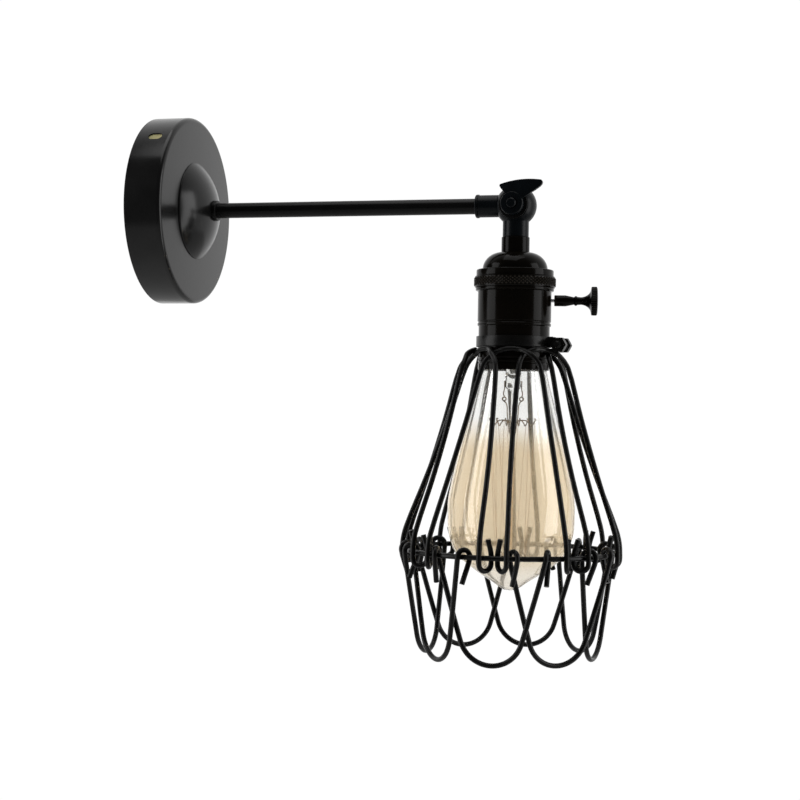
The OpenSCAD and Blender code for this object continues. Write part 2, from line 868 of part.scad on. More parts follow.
module holder_insulator() {
    floor_h = 1.6;
    wall_end = mouth_z + liner_inset;
    color([0.88, 0.86, 0.8])
        at_lamp()
            difference() {
                translate([0, 0, wall_end])
                    cylinder(h = contact_z - wall_end, r = insulator_r);
                translate([0, 0, wall_end - 1])
                    cylinder(h = contact_z - floor_h - wall_end + 1, r = liner_bore_r);
                translate([0, 0, contact_z - floor_h - 1])
                    cylinder(h = floor_h + 2, r = 3.6);
            }
}

module screw_shell() {
    shell_top = contact_z - 1.7;
    shell_end = mouth_z + liner_inset + 1;
    color([0.8, 0.64, 0.3])
        at_lamp()
            translate([0, 0, shell_end])
                tube(shell_top - shell_end, screw_shell_r + screw_shell_wall, screw_shell_r);
}

// ---- Bulb ----

module bulb_contact() {
    color([0.7, 0.7, 0.7])
        at_lamp()
            translate([0, 0, bulb_top])
                mirror([0, 0, 1])
                    cylinder(h = 1.2, r1 = 3.4, r2 = 4.6);
}

module bulb_insulator() {
    color([0.06, 0.05, 0.06])
        at_lamp()
            translate([0, 0, bulb_top - 1.2])
                mirror([0, 0, 1])
                    cylinder(h = 2, r1 = 4.8, r2 = bulb_cap_d / 2 - 2.2);
}

// Rounded turns of the cap's thread, as rings in the sheet
module bulb_cap() {
    r = bulb_cap_d / 2;
    wall = 0.4;
    turns = 5;
    turn_pitch = 3.6;
    thread_top = bulb_cap_z - 1.6;
    wave = [for (i = [0 : turns * 6])
        [r - 0.45 + 0.45 * cos(i * 60), thread_top - turn_pitch * i / 6]];
    outer = concat([[r - 2, bulb_cap_z]], wave,
        [[r - 0.2, bulb_cap_z - bulb_cap_len]]);
    inner = [for (i = [len(outer) - 1 : -1 : 0]) outer[i] - [wall, 0]];
    color([0.75, 0.72, 0.66])
        at_lamp()
            rotate_extrude()
                polygon(concat(outer, inner));
}

// The glass: a short neck, long flanks, a full belly and a drawn-in tip
function glass_stations(wall) = [
    [bulb_cap_d / 2 - 1.1 - wall, glass_top],
    [bulb_cap_d / 2 - 1.0 - wall, glass_top - 2.4],
    [bulb_r * 0.5 - wall, glass_top - 5],
    [bulb_r * 0.57 - wall, glass_top - 13],
    [bulb_r * 0.7 - wall, glass_top - glass_len * 0.255],
    [bulb_r * 0.875 - wall, glass_top - glass_len * 0.45],
    [bulb_r * 0.985 - wall, glass_top - glass_len * 0.594],
    [bulb_r - wall, glass_top - glass_len * 0.679],
    [bulb_r * 0.975 - wall, glass_top - glass_len * 0.762],
    [bulb_r * 0.85 - wall, glass_top - glass_len * 0.847],
    [bulb_r * 0.55 - wall, glass_top - glass_len * 0.915],
    [bulb_r * 0.29 - wall * 0.9, bulb_tip + 4.6 + wall * 0.3],
    [bulb_r * 0.12 - wall * 0.5, bulb_tip + 0.9 + wall * 0.9],
    [0, bulb_tip + wall]
];

module bulb_glass() {
    outer = smooth(glass_stations(0), 3);
    inner = smooth(glass_stations(glass_wall), 3);
    color([0.93, 0.82, 0.62, 0.45])
        at_lamp()
            rotate_extrude()
                polygon(concat(outer, reversed(inner)));
}

stem_press_drop = 16.2;
stem_press_w = 8.4;
stem_press_t = 3;
stem_rod_r = 1;
eyelet_drop = 21.3;
spider_top_drop = 32.3;
lead_end_drop = 38.7;
spider_low_rise = 18;
hook_wire = 0.28;
hook_slope = 1.2;
lead_wire = 0.3;
eyelet_r = 1;
eyelet_wire = 0.36;
wire_gap = 0.05;
filament_wire = 0.16;
filament_turn = 0.6;
stem_press_z = glass_top - stem_press_drop;
spider_top_z = glass_top - spider_top_drop;
spider_low_z = bulb_tip + spider_low_rise;
spider_top_r = 12;
spider_low_r = 8.3;
spider_arms = 6;
lead_turn = 180 / spider_arms;

module bulb_stem() {
    flare_r = bulb_cap_d / 2 - 1.9 - glass_wall;
    tube_r = stem_press_w / 2 - 0.5;
    color([0.9, 0.9, 0.88, 0.5])
        at_lamp() {
            rotate_extrude()
                polygon([[flare_r, glass_top - 1], [tube_r, glass_top - 6], [tube_r - 0.2, glass_top - 10],
                    [stem_press_t / 2, stem_press_z + 1.5], [stem_rod_r, stem_press_z - 1],
                    [stem_rod_r, spider_low_z - 1.5], [0, spider_low_z - 1.5], [0, glass_top - 8],
                    [tube_r - 1.1, glass_top - 8], [tube_r - 0.9, glass_top - 6],
                    [flare_r - 1, glass_top - 1]]);
            // The tube's end is pressed flat round the leads
            rotate([0, 0, lead_turn])
                intersection() {
                    translate([0, 0, stem_press_z])
                        cylinder(h = stem_press_drop - 9, r = stem_press_w / 2);
                    translate([-stem_press_w / 2, -stem_press_t / 2, stem_press_z])
                        cube([stem_press_w, stem_press_t, stem_press_drop - 9]);
                }
        }
}

module between(a, b, r) {
    d = b - a;
    translate(a)
        rotate([0, acos(d[2] / norm(d)), atan2(d[1], d[0])])
            cylinder(h = norm(d), r = r, $fn = 16);
}

function spider_point(r, z, i) =
    [r * cos(i * 360 / spider_arms), r * sin(i * 360 / spider_arms), z];

module bulb_supports() {
    arm_root = stem_rod_r + 0.12;
    lead = stem_press_w / 2 + lead_wire + wire_gap;
    lead_end_r = stem_rod_r + 2 * lead_wire + wire_gap;
    eyelet_z = glass_top - eyelet_drop;
    color([0.55, 0.5, 0.45])
        at_lamp() {
            for (i = [0 : spider_arms - 1]) {
                between(spider_point(arm_root, spider_top_z - hook_slope, i),
                    spider_point(spider_top_r, spider_top_z, i), hook_wire);
                between(spider_point(arm_root, spider_low_z, i + 0.5),
                    spider_point(spider_low_r, spider_low_z - 1, i + 0.5), hook_wire);
            }
            // Each lead runs beside the press to its eyelet, then slants in past the upper arms
            rotate([0, 0, lead_turn])
                for (side = [-1, 1]) {
                    between([side * lead, 0, stem_press_z + 3],
                        [side * lead, 0, eyelet_z + eyelet_r], lead_wire);
                    between([side * lead, 0, eyelet_z - eyelet_r],
                        [side * lead_end_r, 0, glass_top - lead_end_drop], lead_wire);
                    translate([side * lead, 0, eyelet_z])
                        rotate([90, 0, 0])
                            rotate_extrude()
                                translate([eyelet_r, 0])
                                    circle(r = eyelet_wire, $fn = 16);
                }
        }
}

// One strand that zigzags round the lamp between the upper and the lower hooks
module bulb_filament() {
    step = 180 / spider_arms;
    turn = filament_turn;
    function loop(a, r, z, side) = [
        for (p = [[-turn, 0], [0, side * turn], [turn, 0]])
            [r * cos(a) - p[0] * sin(a), r * sin(a) + p[0] * cos(a), z + p[1]]];
    hooks = [for (i = [0 : 2 * spider_arms - 2]) each i % 2 == 0
        ? loop(i * step, spider_top_r - 0.6, spider_top_z + 0.1, 1)
        : loop(i * step, spider_low_r - 0.6, spider_low_z - 1.1, -1)];
    color([0.5, 0.32, 0.2])
        at_lamp()
            bent_wire(smooth(hooks, 2), filament_wire, 6);
}

// ---- Clamp and cage ----

ear_root = 0.2;
ear_step = 1.8;
ear_end_r = 2.9;

// An ear is level with the band at its root and hangs lower round the bolt
module ear_outline() {
    bolt_x = bolt_from_axis - band_in_r - ear_root;
    bolt_h = bolt_z - band_z;
    union() {
        polygon([[0, 0], [band_t + ear_step, 0], [bolt_x, bolt_h - ear_end_r], [bolt_x, bolt_h + ear_end_r],
            [band_t + ear_step, band_h], [0, band_h]]);
        translate([bolt_x, bolt_h])
            circle(r = ear_end_r);
    }
}

module clamp_band() {
    open = 2 * asin(ear_gap / 2 / band_in_r);
    color([0.07, 0.07, 0.07])
        at_lamp()
            translate([0, 0, band_z])
                rotate([0, 0, ear_angle])
                    difference() {
                        union() {
                            rotate([0, 0, open / 2])
                                rotate_extrude(angle = 360 - open)
                                    translate([band_in_r, 0])
                                        square([band_t, band_h]);
                            for (side = [-1, 1])
                                translate([band_in_r + ear_root, side * (ear_gap + ear_t) / 2 + ear_t / 2, 0])
                                    rotate([90, 0, 0])
                                        linear_extrude(height = ear_t)
                                            ear_outline();
                        }
                        translate([bolt_from_axis, ear_gap + ear_t, bolt_z - band_z])
                            rotate([90, 0, 0])
                                cylinder(h = 2 * (ear_gap + ear_t), r = bolt_r + fixed_fit);
                    }
}

// The bolt's frame: its axis is local Z, from the head's side towards the nut
module at_bolt() {
    at_lamp()
        translate([0, 0, bolt_z])
            rotate([0, 0, ear_angle])
                translate([bolt_from_axis, 0, 0])
                    rotate([90, 0, 0])
                        children();
}

ear_face = ear_gap / 2 + ear_t;

module clamp_bolt() {
    color([0.1, 0.1, 0.1])
        at_bolt() {
            translate([0, 0, -ear_face - 2.8])
                rotate([0, 0, 30])
                    cylinder(h = 2.8, r = clamp_af / sqrt(3), $fn = 6);
            translate([0, 0, -ear_face - 1])
                cylinder(h = 2 * ear_face + 7.2, r = bolt_r);
        }
}

module clamp_nut() {
    color([0.1, 0.1, 0.1])
        at_bolt()
            translate([0, 0, ear_face])
                rotate([0, 0, 30])
                    hex_nut(clamp_af, 3.2, bolt_r + turn_fit);
}

module cage_ring() {
    color([0.09, 0.09, 0.09])
        at_lamp()
            translate([0, 0, ring_z])
                rotate_extrude()
                    translate([ring_r, 0])
                        circle(r = wire_r);
}

// The cage's own frame for the piece that faces the angle a, seen from the front:
// local X points out, local Y to that piece's right
module facing(a) {
    at_lamp()
        rotate([0, 0, a - 90])
            children();
}

// One side of an arch, from the tail of its foot up to the shoulder. side is 1 for the right leg
function arch_side(side) =
    let (
        foot_u = ring_r * cos(arch_foot_angle),
        foot_v = side * ring_r * sin(arch_foot_angle),
        leg_u = foot_u + arch_loop_r,
        loop_z = ring_z - arch_loop_drop,
        loop = [for (p = arc([foot_u, loop_z], arch_loop_r, 180, 360, 8)) [p[0], foot_v, p[1]]],
        tail_tip = [leg_u - wire_d * 1.95, foot_v, ring_z + arch_tail],
        tail = [tail_tip, [foot_u - arch_loop_r, foot_v, ring_z + 1.4]],
        corner = [leg_u, foot_v, ring_z + 6],
        shoulder = twisted(arch_top_point(side, arch_shoulder_t)),
        leg_dir = unit(shoulder - corner),
        leg_start = corner + 6 * leg_dir,
        foot = bend([leg_u, foot_v, ring_z], corner, leg_start, 3),
        bow = [for (t = [1 / 3, 2 / 3])
            leg_start + t * (shoulder - leg_start) - [arch_bow * 4 * t * (1 - t), 0, 0]]
    )
    concat(tail, loop, foot, bow);

// The top of an arch: t is 0 at its highest point and grows towards the shoulder
function arch_top_point(side, t) = [
    arch_top_u + (arch_shoulder_u - arch_top_u) * (1 - cos(t)) / (1 - cos(arch_shoulder_t))
        + side * arch_weave * (1 - cos(max(0, min(180, 6 * (t - arch_weave_from))))) / 2,
    side * arch_half_w * sin(t),
    arch_z - arch_top_h * (1 - cos(t))
];

// The tops are turned about the lamp's axis, against the feet
function twisted(p) = [
    p[0] * cos(arch_twist) - p[1] * sin(arch_twist),
    p[0] * sin(arch_twist) + p[1] * cos(arch_twist),
    p[2]
];

module arch(i) {
    steps = 6;
    top_right = [for (k = [steps : -1 : 0]) twisted(arch_top_point(1, arch_shoulder_t * k / steps))];
    top_left = [for (k = [1 : steps]) twisted(arch_top_point(-1, arch_shoulder_t * k / steps))];
    color([0.09, 0.09, 0.09])
        facing(arch_turn + i * pitch)
            bent_wire(concat(arch_side(1), top_right, top_left, reversed(arch_side(-1))), wire_r);
}

// A point of a petal: h below the ring, v to the right. The right leg lies outside and the left
// inside, by the weave w
function petal_point(v, h, w) = [petal_u - petal_lean * h / petal_drop + w, v, ring_z - h];

// One side of a petal, from the tail of its hook down to the round end
function petal_side(side) =
    let (
        tail_close = 12,
        hook = [for (p = arc([0, 0], petal_hook_r, 180 + tail_close, -6, 9))
            [petal_u + side * p[0], side * petal_v, ring_z + p[1]]],
        tail_tip = [petal_u + side * 0.8, side * petal_v, ring_z - petal_tail]
    )
    concat([tail_tip], hook);

module petal(i) {
    end_h = petal_drop - petal_end_r;
    // Where the straight leg meets the round end
    reach = norm([petal_v, end_h]);
    meet = acos(petal_end_r / reach) - atan2(end_h, petal_v);
    round_end = [for (p = arc([0, end_h], petal_end_r, meet, 180 - meet, 14))
        petal_point(p[0], p[1], petal_weave * p[0] / petal_end_r)];
    color([0.09, 0.09, 0.09])
        facing(i * pitch)
            bent_wire(concat(petal_side(1), round_end, reversed(petal_side(-1))), wire_r);
}

wall_strap();
wall_canopy();
canopy_dome();
terminal_block();
earth_screw();
live_wire();
neutral_wire();
earth_wire();
arm_lock_washer();
arm_lock_nut();
arm_ring_nut();
arm_tube();
knuckle_arm_half();
pivot_bolt();
pivot_washer();
thumb_nut();
knuckle_lamp_half();
holder_nipple();
nipple_nut();
holder_cap();
knurled_ring();
holder_shell();
switch_body();
switch_shaft();
switch_key();
centre_contact();
holder_insulator();
screw_shell();
bulb_contact();
bulb_insulator();
bulb_cap();
bulb_glass();
bulb_stem();
bulb_supports();
bulb_filament();
clamp_band();
clamp_bolt();
clamp_nut();
cage_ring();
arch(0);  // cage_arch_1
arch(1);  // cage_arch_2
arch(2);  // cage_arch_3
arch(3);  // cage_arch_4
arch(4);  // cage_arch_5
arch(5);  // cage_arch_6
arch(6);  // cage_arch_7
arch(7);  // cage_arch_8
petal(0);  // cage_petal_1
petal(1);  // cage_petal_2
petal(2);  // cage_petal_3
petal(3);  // cage_petal_4
petal(4);  // cage_petal_5
petal(5);  // cage_petal_6
petal(6);  // cage_petal_7
petal(7);  // cage_petal_8
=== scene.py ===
import bpy
import bmesh
import json
from math import sin, cos, pi, radians, degrees, sqrt, asin, acos, atan2, hypot
from mathutils import Vector, Matrix

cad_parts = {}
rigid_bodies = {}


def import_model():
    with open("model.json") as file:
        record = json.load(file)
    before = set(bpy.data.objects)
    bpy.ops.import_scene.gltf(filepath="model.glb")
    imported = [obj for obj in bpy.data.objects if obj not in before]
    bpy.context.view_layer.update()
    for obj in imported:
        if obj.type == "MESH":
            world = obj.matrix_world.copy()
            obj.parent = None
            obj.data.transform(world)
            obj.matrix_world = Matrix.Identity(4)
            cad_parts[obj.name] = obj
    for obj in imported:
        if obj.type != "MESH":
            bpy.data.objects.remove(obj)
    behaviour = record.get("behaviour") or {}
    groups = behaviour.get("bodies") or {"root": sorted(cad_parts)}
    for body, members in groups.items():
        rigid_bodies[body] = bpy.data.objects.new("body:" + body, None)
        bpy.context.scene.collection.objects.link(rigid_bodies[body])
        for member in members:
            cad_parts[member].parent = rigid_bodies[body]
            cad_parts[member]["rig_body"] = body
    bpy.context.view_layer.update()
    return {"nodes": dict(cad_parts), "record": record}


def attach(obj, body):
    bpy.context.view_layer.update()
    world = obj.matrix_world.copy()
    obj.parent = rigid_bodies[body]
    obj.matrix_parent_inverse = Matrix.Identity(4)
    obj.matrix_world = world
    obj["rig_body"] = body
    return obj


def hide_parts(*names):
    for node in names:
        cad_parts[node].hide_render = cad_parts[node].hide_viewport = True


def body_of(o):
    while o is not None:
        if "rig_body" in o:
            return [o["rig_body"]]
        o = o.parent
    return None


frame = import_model()
slotOf = {part["node"]: part["material_slot"] for part in frame["record"]["subparts"]}
finishes = {}    # material slot -> the material made for it
covered = set()  # nodes that a new piece stands for
print("frame in:", len(frame["nodes"]), "nodes")

lamp = {"x": 193.2}    # the knuckle's centre, in mm from the wall
atWall = Matrix.Identity(4)
atLamp = Matrix.Translation((lamp["x"], 0, 0))
layAlongX = Matrix.Rotation(pi / 2, 4, "Y")   # a shape turned about Z comes to lie along +X


# Shader expressions: arithmetic on a socket adds the Math node that does it

class Wire:      # one output socket that adds, multiplies and so on like a number
    def __init__(self, finish, socket):
        self.finish, self.socket = finish, socket

    def maths(self, operation, first, second=0.0, third=0.0):
        return self.finish.make("ShaderNodeMath", {"operation": operation}, {0: first, 1: second, 2: third})

    def __add__(self, other):
        return self.maths("ADD", self, other)

    def __radd__(self, other):
        return self.maths("ADD", other, self)

    def __sub__(self, other):
        return self.maths("SUBTRACT", self, other)

    def __rsub__(self, other):
        return self.maths("SUBTRACT", other, self)

    def __mul__(self, other):
        return self.maths("MULTIPLY", self, other)

    def __rmul__(self, other):
        return self.maths("MULTIPLY", other, self)

    def __pow__(self, other):
        return self.maths("POWER", self, other)

    def rising(self, low, high):      # 0 below low, 1 above high, with a soft shoulder
        return self.finish.make("ShaderNodeMapRange", {"interpolation_type": "SMOOTHSTEP"},
                                {"Value": self, "From Min": low, "From Max": high})


class Finish:    # one material, with its constants set straight on the shader
    def __init__(self, name, **constants):
        self.material = bpy.data.materials.new(name)
        self.material.use_nodes = True
        self.tree = self.material.node_tree
        self.shader = self.tree.nodes["Principled BSDF"]
        self.end = self.tree.nodes["Material Output"]
        for label, value in constants.items():
            self.shader.inputs[label.replace("_", " ")].default_value = value

    def make(self, kind, settings=None, sockets=None, out=0):
        node = self.tree.nodes.new(kind)
        for key, value in (settings or {}).items():
            setattr(node, key, value)
        for key, value in (sockets or {}).items():
            if isinstance(value, Wire):
                self.tree.links.new(value.socket, node.inputs[key])
            else:
                node.inputs[key].default_value = value
        return Wire(self, node.outputs[out])

    def at(self, shift=(0, 0, 0), turn=(0, 0, 0), stretch=(1, 1, 1)):
        spot = self.make("ShaderNodeTexCoord", out=3)
        return self.make("ShaderNodeMapping", {"vector_type": "POINT"},
                         {"Vector": spot, "Location": shift, "Rotation": turn, "Scale": stretch})

    def axes(self, vector):
        split = self.make("ShaderNodeSeparateXYZ", None, {0: vector})
        return [Wire(self, socket) for socket in split.socket.node.outputs]

    def grain(self, vector, size, detail=3.0, roughness=0.5):    # size is in millimetres
        return self.make("ShaderNodeTexNoise", {"noise_dimensions": "3D"},
                         {"Vector": vector, "Scale": 1000 / size, "Detail": detail, "Roughness": roughness})

    def mixed(self, amount, low, high):
        return self.make("ShaderNodeMix", {"data_type": "RGBA"}, {0: amount, 6: low, 7: high}, out=2)

    def bumped(self, height, strength, depth):                   # depth is in millimetres
        return self.make("ShaderNodeBump", None,
                         {"Height": height, "Strength": strength, "Distance": depth / 1000})

    def wear(self, **links):
        for label, wire in links.items():
            self.tree.links.new(wire.socket, self.shader.inputs[label.replace("_", " ")])
        return self.material


def tone(value, warm=0.0):       # a grey, a little warmer or cooler
    return (value * (1 + warm), value, value * (1 - warm), 1)


def lacquered(slot, look):       # baked black paint over metal
    coat = Finish(slot, Specular_IOR_Level=look["gloss"], Metallic=0.0)
    spot = coat.at()
    cloud = coat.grain(spot, look["cloud"], 4)
    peel = coat.grain(spot, look["peel"], 2)
    speck = coat.grain(spot, 0.35, 1).rising(0.66, 0.8)
    rubbed = coat.grain(coat.at(shift=(0.3, 0.1, 0.7)), 9, 6, 0.7).rising(0.62, 0.78) * look["rubbed"]
    colour = coat.mixed(cloud, tone(look["dark"], look["warm"]), tone(look["light"], look["warm"]))
    colour = coat.mixed(speck * 0.25, colour, tone(look["light"] * 2.2, look["warm"]))
    rough = look["rough"] + (cloud - 0.5) * 0.14 - rubbed * 0.5
    if "tips" in look:           # the knurl's points are painted lighter than its valleys: partly rubbed paint, partly a painted highlight on the tips
        east, north, _ = coat.axes(coat.at(shift=(-lamp["x"] / 1000, 0, 0)))
        reach = (east * east + north * north) ** 0.5
        low, high, past = look["tips"]
        tipWearAndHighlight = reach.rising(low, high) * (1 - reach.rising(high, past)) * (0.5 + cloud * 0.5)
        # painted highlight and rubbed paint on the knurl's points, a lighter grey than the valleys
        colour = coat.mixed(tipWearAndHighlight, colour, tone(0.02, look["warm"]))
        rough = rough + tipWearAndHighlight * 0.18
    finishes[slot] = coat.wear(
        Base_Color=coat.mixed(rubbed, colour, tone(look["light"] * 2.6, look["warm"])),
        Roughness=rough, Normal=coat.bumped(peel, look["strength"], 0.05))


def bareMetal(slot, look):       # plated, rolled or drawn metal
    metal = Finish(slot, Metallic=1.0)
    spot = metal.at()
    cloud = metal.grain(spot, look["cloud"], 5, 0.6)
    drawn = metal.grain(metal.at(stretch=look["draw"]), look["peel"], 3)
    stain = metal.grain(metal.at(shift=(0.2, 0.6, 0.1)), look["cloud"] * 2.3, 4).rising(0.5, 0.75)
    colour = metal.mixed(cloud, look["low"], look["high"])
    finishes[slot] = metal.wear(
        Base_Color=metal.mixed(stain * 0.5, colour, look["stain"]),
        Roughness=look["rough"] + (cloud - 0.5) * 0.2 + stain * 0.12,
        Normal=metal.bumped(drawn, look["strength"], 0.04))


def moulded(slot, look):         # plastic, phenolic, porcelain and glassy black
    body = Finish(slot, Metallic=0.0, Coat_Weight=look.get("coat", 0.0), Coat_Roughness=0.08)
    spot = body.at()
    cloud = body.grain(spot, look["cloud"], 4)
    skin = body.grain(spot, look["peel"], 2)
    fleck = body.grain(body.at(shift=(0.5, 0, 0.2)), 0.5, 1).rising(0.62, 0.72)
    colour = body.mixed(cloud, look["low"], look["high"])
    finishes[slot] = body.wear(
        Base_Color=body.mixed(fleck * look["fleck"], colour, look["fleckTone"]),
        Roughness=look["rough"] + (cloud - 0.5) * 0.15,
        Normal=body.bumped(skin, look["strength"], 0.05))


def clearGlass(slot, look):      # blown glass, tinted below a soft line
    glass = Finish(slot, Transmission_Weight=1.0, IOR=look["bend"], Metallic=0.0)
    spot = glass.at()
    height = glass.axes(spot)[2]
    sway = (glass.grain(spot, 30, 2) - 0.5) * 0.012
    tinted = 1 - (height + sway).rising(look["tintFull"] / 1000, look["tintFrom"] / 1000)
    tinted = tinted * (0.35 + (height + sway).rising(look["tintEnd"] / 1000, look["tintLow"] / 1000) * 0.65)
    haze = glass.grain(glass.at(stretch=(1, 1, 0.3)), 14, 4).rising(0.45, 0.8)
    if "veil" in look:           # the tint is a thin coat that glows a little where light comes through
        glow = glass.make("ShaderNodeBsdfTranslucent", None, {"Color": look["veilTone"]})
        veil = tinted * look["veil"] + look["veilLeast"]
        both = glass.make("ShaderNodeMixShader", None, {0: veil, 2: glow})
        glass.tree.links.new(glass.shader.outputs[0], both.socket.node.inputs[1])
        glass.tree.links.new(both.socket, glass.end.inputs["Surface"])
    finishes[slot] = glass.wear(
        Base_Color=glass.mixed(tinted, look["clear"], look["tint"]),
        Roughness=haze * look["haze"] + look["rough"],
        Normal=glass.bumped(glass.grain(glass.at(stretch=(1, 1, 0.4)), 22, 2), look["strength"], 0.3))


lacquered("canopy_paint", {"dark": 0.003, "light": 0.007, "warm": 0.0, "rough": 0.2, "gloss": 0.22,
                           "cloud": 14, "peel": 0.7, "strength": 0.06, "rubbed": 0.1})
lacquered("arm_paint", {"dark": 0.002, "light": 0.004, "warm": 0.0, "rough": 0.24, "gloss": 0.1,
                        "cloud": 12, "peel": 0.8, "strength": 0.06, "rubbed": 0.05})
lacquered("knuckle_metal", {"dark": 0.0015, "light": 0.004, "warm": -0.3, "rough": 0.28, "gloss": 0.09,
                            "cloud": 6, "peel": 0.5, "strength": 0.12, "rubbed": 0.08})
# the holder's tips band paints the knurl's points lighter: partly rubbed paint, partly painted highlight
lacquered("holder_metal", {"dark": 0.001, "light": 0.003, "warm": 0.3, "rough": 0.14, "gloss": 0.06,
                           "cloud": 9, "peel": 1.4, "strength": 0.04, "rubbed": 0.03,
                           "tips": (0.02042, 0.02072, 0.0212)})
lacquered("cage_wire", {"dark": 0.002, "light": 0.005, "warm": 0.05, "rough": 0.28, "gloss": 0.12,
                        "cloud": 5, "peel": 0.5, "strength": 0.12, "rubbed": 0.1})
bareMetal("zinc_plate", {"low": (0.2, 0.19, 0.09, 1), "high": (0.3, 0.28, 0.15, 1),
                         "stain": (0.34, 0.24, 0.12, 1), "rough": 0.42, "cloud": 6, "peel": 0.4,
                         "draw": (1, 1, 1), "strength": 0.15})
bareMetal("bright_steel", {"low": (0.5, 0.5, 0.52, 1), "high": (0.68, 0.68, 0.7, 1),
                           "stain": (0.42, 0.4, 0.36, 1), "rough": 0.28, "cloud": 5, "peel": 0.3,
                           "draw": (1, 1, 6), "strength": 0.12})
bareMetal("brass", {"low": (0.52, 0.36, 0.13, 1), "high": (0.72, 0.52, 0.22, 1),
                    "stain": (0.3, 0.2, 0.09, 1), "rough": 0.3, "cloud": 4, "peel": 0.3, "draw": (1, 1, 5),
                    "strength": 0.12})
bareMetal("bulb_cap_metal", {"low": (0.55, 0.53, 0.48, 1), "high": (0.7, 0.68, 0.62, 1),
                             "stain": (0.4, 0.36, 0.28, 1), "rough": 0.34, "cloud": 5, "peel": 0.3,
                             "draw": (1, 1, 5), "strength": 0.1})
bareMetal("support_wire", {"low": (0.13, 0.1, 0.07, 1), "high": (0.2, 0.16, 0.11, 1),
                           "stain": (0.16, 0.08, 0.04, 1), "rough": 0.4, "cloud": 2, "peel": 0.2,
                           "draw": (1, 1, 1), "strength": 0.1})
bareMetal("filament_wire", {"low": (0.3, 0.16, 0.08, 1), "high": (0.42, 0.26, 0.15, 1),
                            "stain": (0.16, 0.09, 0.05, 1), "rough": 0.5, "cloud": 2, "peel": 0.15,
                            "draw": (1, 1, 0.2), "strength": 0.3})
moulded("block_plastic", {"low": (0.66, 0.64, 0.57, 1), "high": (0.76, 0.74, 0.67, 1), "fleck": 0.1,
                          "fleckTone": (0.5, 0.47, 0.4, 1), "rough": 0.45, "cloud": 8, "peel": 0.4,
                          "strength": 0.1})
moulded("live_sleeve", {"low": (0.13, 0.04, 0.016, 1), "high": (0.19, 0.07, 0.03, 1), "fleck": 0.1,
                        "fleckTone": (0.25, 0.12, 0.07, 1), "rough": 0.4, "cloud": 3, "peel": 0.4,
                        "strength": 0.1})
moulded("neutral_sleeve", {"low": (0.016, 0.07, 0.3, 1), "high": (0.03, 0.11, 0.4, 1), "fleck": 0.1,
                           "fleckTone": (0.1, 0.2, 0.5, 1), "rough": 0.4, "cloud": 3, "peel": 0.4,
                           "strength": 0.1})
moulded("earth_sleeve", {"low": (0.08, 0.2, 0.02, 1), "high": (0.45, 0.42, 0.04, 1), "fleck": 0.1,
                         "fleckTone": (0.1, 0.26, 0.05, 1), "rough": 0.4, "cloud": 6, "peel": 0.4,
                         "strength": 0.1})
moulded("phenolic", {"low": (0.035, 0.016, 0.01, 1), "high": (0.06, 0.028, 0.016, 1), "fleck": 0.4,
                     "fleckTone": (0.11, 0.06, 0.03, 1), "rough": 0.35, "cloud": 5, "peel": 0.5,
                     "strength": 0.1})
moulded("ceramic", {"low": (0.72, 0.69, 0.62, 1), "high": (0.82, 0.8, 0.74, 1), "fleck": 0.12, "coat": 0.6,
                    "fleckTone": (0.5, 0.46, 0.38, 1), "rough": 0.3, "cloud": 7, "peel": 1.2,
                    "strength": 0.08})
moulded("black_glass", {"low": (0.008, 0.006, 0.008, 1), "high": (0.02, 0.014, 0.02, 1), "fleck": 0.1,
                        "coat": 0.6, "fleckTone": (0.05, 0.04, 0.05, 1), "rough": 0.2, "cloud": 3,
                        "peel": 1, "strength": 0.08})
clearGlass("bulb_glass", {"bend": 1.45, "clear": (0.97, 0.975, 0.97, 1), "tint": (0.965, 0.89, 0.76, 1),
                          "tintLow": -170, "tintEnd": -190, "tintFrom": -108, "tintFull": -126,
                          "haze": 0.02, "rough": 0.04, "veil": 0.17, "veilLeast": 0.03,
                          "veilTone": (0.97, 0.87, 0.7, 1), "strength": 0.05})
clearGlass("stem_glass", {"bend": 1.5, "clear": (0.96, 0.96, 0.95, 1), "tint": (0.8, 0.66, 0.5, 1),
                          "tintLow": -200, "tintEnd": -210, "tintFrom": -104, "tintFull": -112,
                          "haze": 0.05, "rough": 0.02, "strength": 0.1})
print("finishes made:", len(finishes))


# Working shapes, in millimetres until finishPiece scales them

def chain(points, closed=False):          # a few vertices in a line, ready to spin or extrude
    bm = bmesh.new()
    verts = [bm.verts.new(p) for p in points]
    for first, second in zip(verts, verts[1:] + (verts[:1] if closed else [])):
        bm.edges.new((first, second))
    return bm


def turned(profile, steps=96, axis="Z", sweep=2 * pi, closed=True):   # (radius, height) pairs, spun
    bm = chain([(r, 0, h) for r, h in profile], closed)
    full = abs(sweep - 2 * pi) < 1e-6
    bmesh.ops.spin(bm, geom=bm.verts[:] + bm.edges[:], cent=(0, 0, 0), axis=(0, 0, 1), angle=sweep,
                   steps=steps, use_merge=full)
    bmesh.ops.remove_doubles(bm, verts=bm.verts, dist=1e-4)
    if axis == "X":
        bm.transform(layAlongX)
    if axis == "-Y":                      # heights run towards the viewer
        bm.transform(Matrix.Rotation(pi / 2, 4, "X"))
    if axis == "Y":
        bm.transform(Matrix.Rotation(-pi / 2, 4, "X"))
    bmesh.ops.recalc_face_normals(bm, faces=bm.faces)
    return bm


def bend(cx, cy, r, start, stop, count):  # points on an arc, in degrees, as profile pairs
    turns = [radians(start + (stop - start) * k / count) for k in range(count + 1)]
    return [(cx + r * cos(t), cy + r * sin(t)) for t in turns]


def eased(bm, width, angle=35, segments=3):     # rounds every edge sharper than the angle
    sharp = [e for e in bm.edges if len(e.link_faces) == 2 and e.calc_face_angle(0) > radians(angle)]
    bmesh.ops.bevel(bm, geom=sharp, offset=width, offset_type="OFFSET", affect="EDGES", segments=segments,
                    profile=0.5, clamp_overlap=True, material=-1)
    return bm


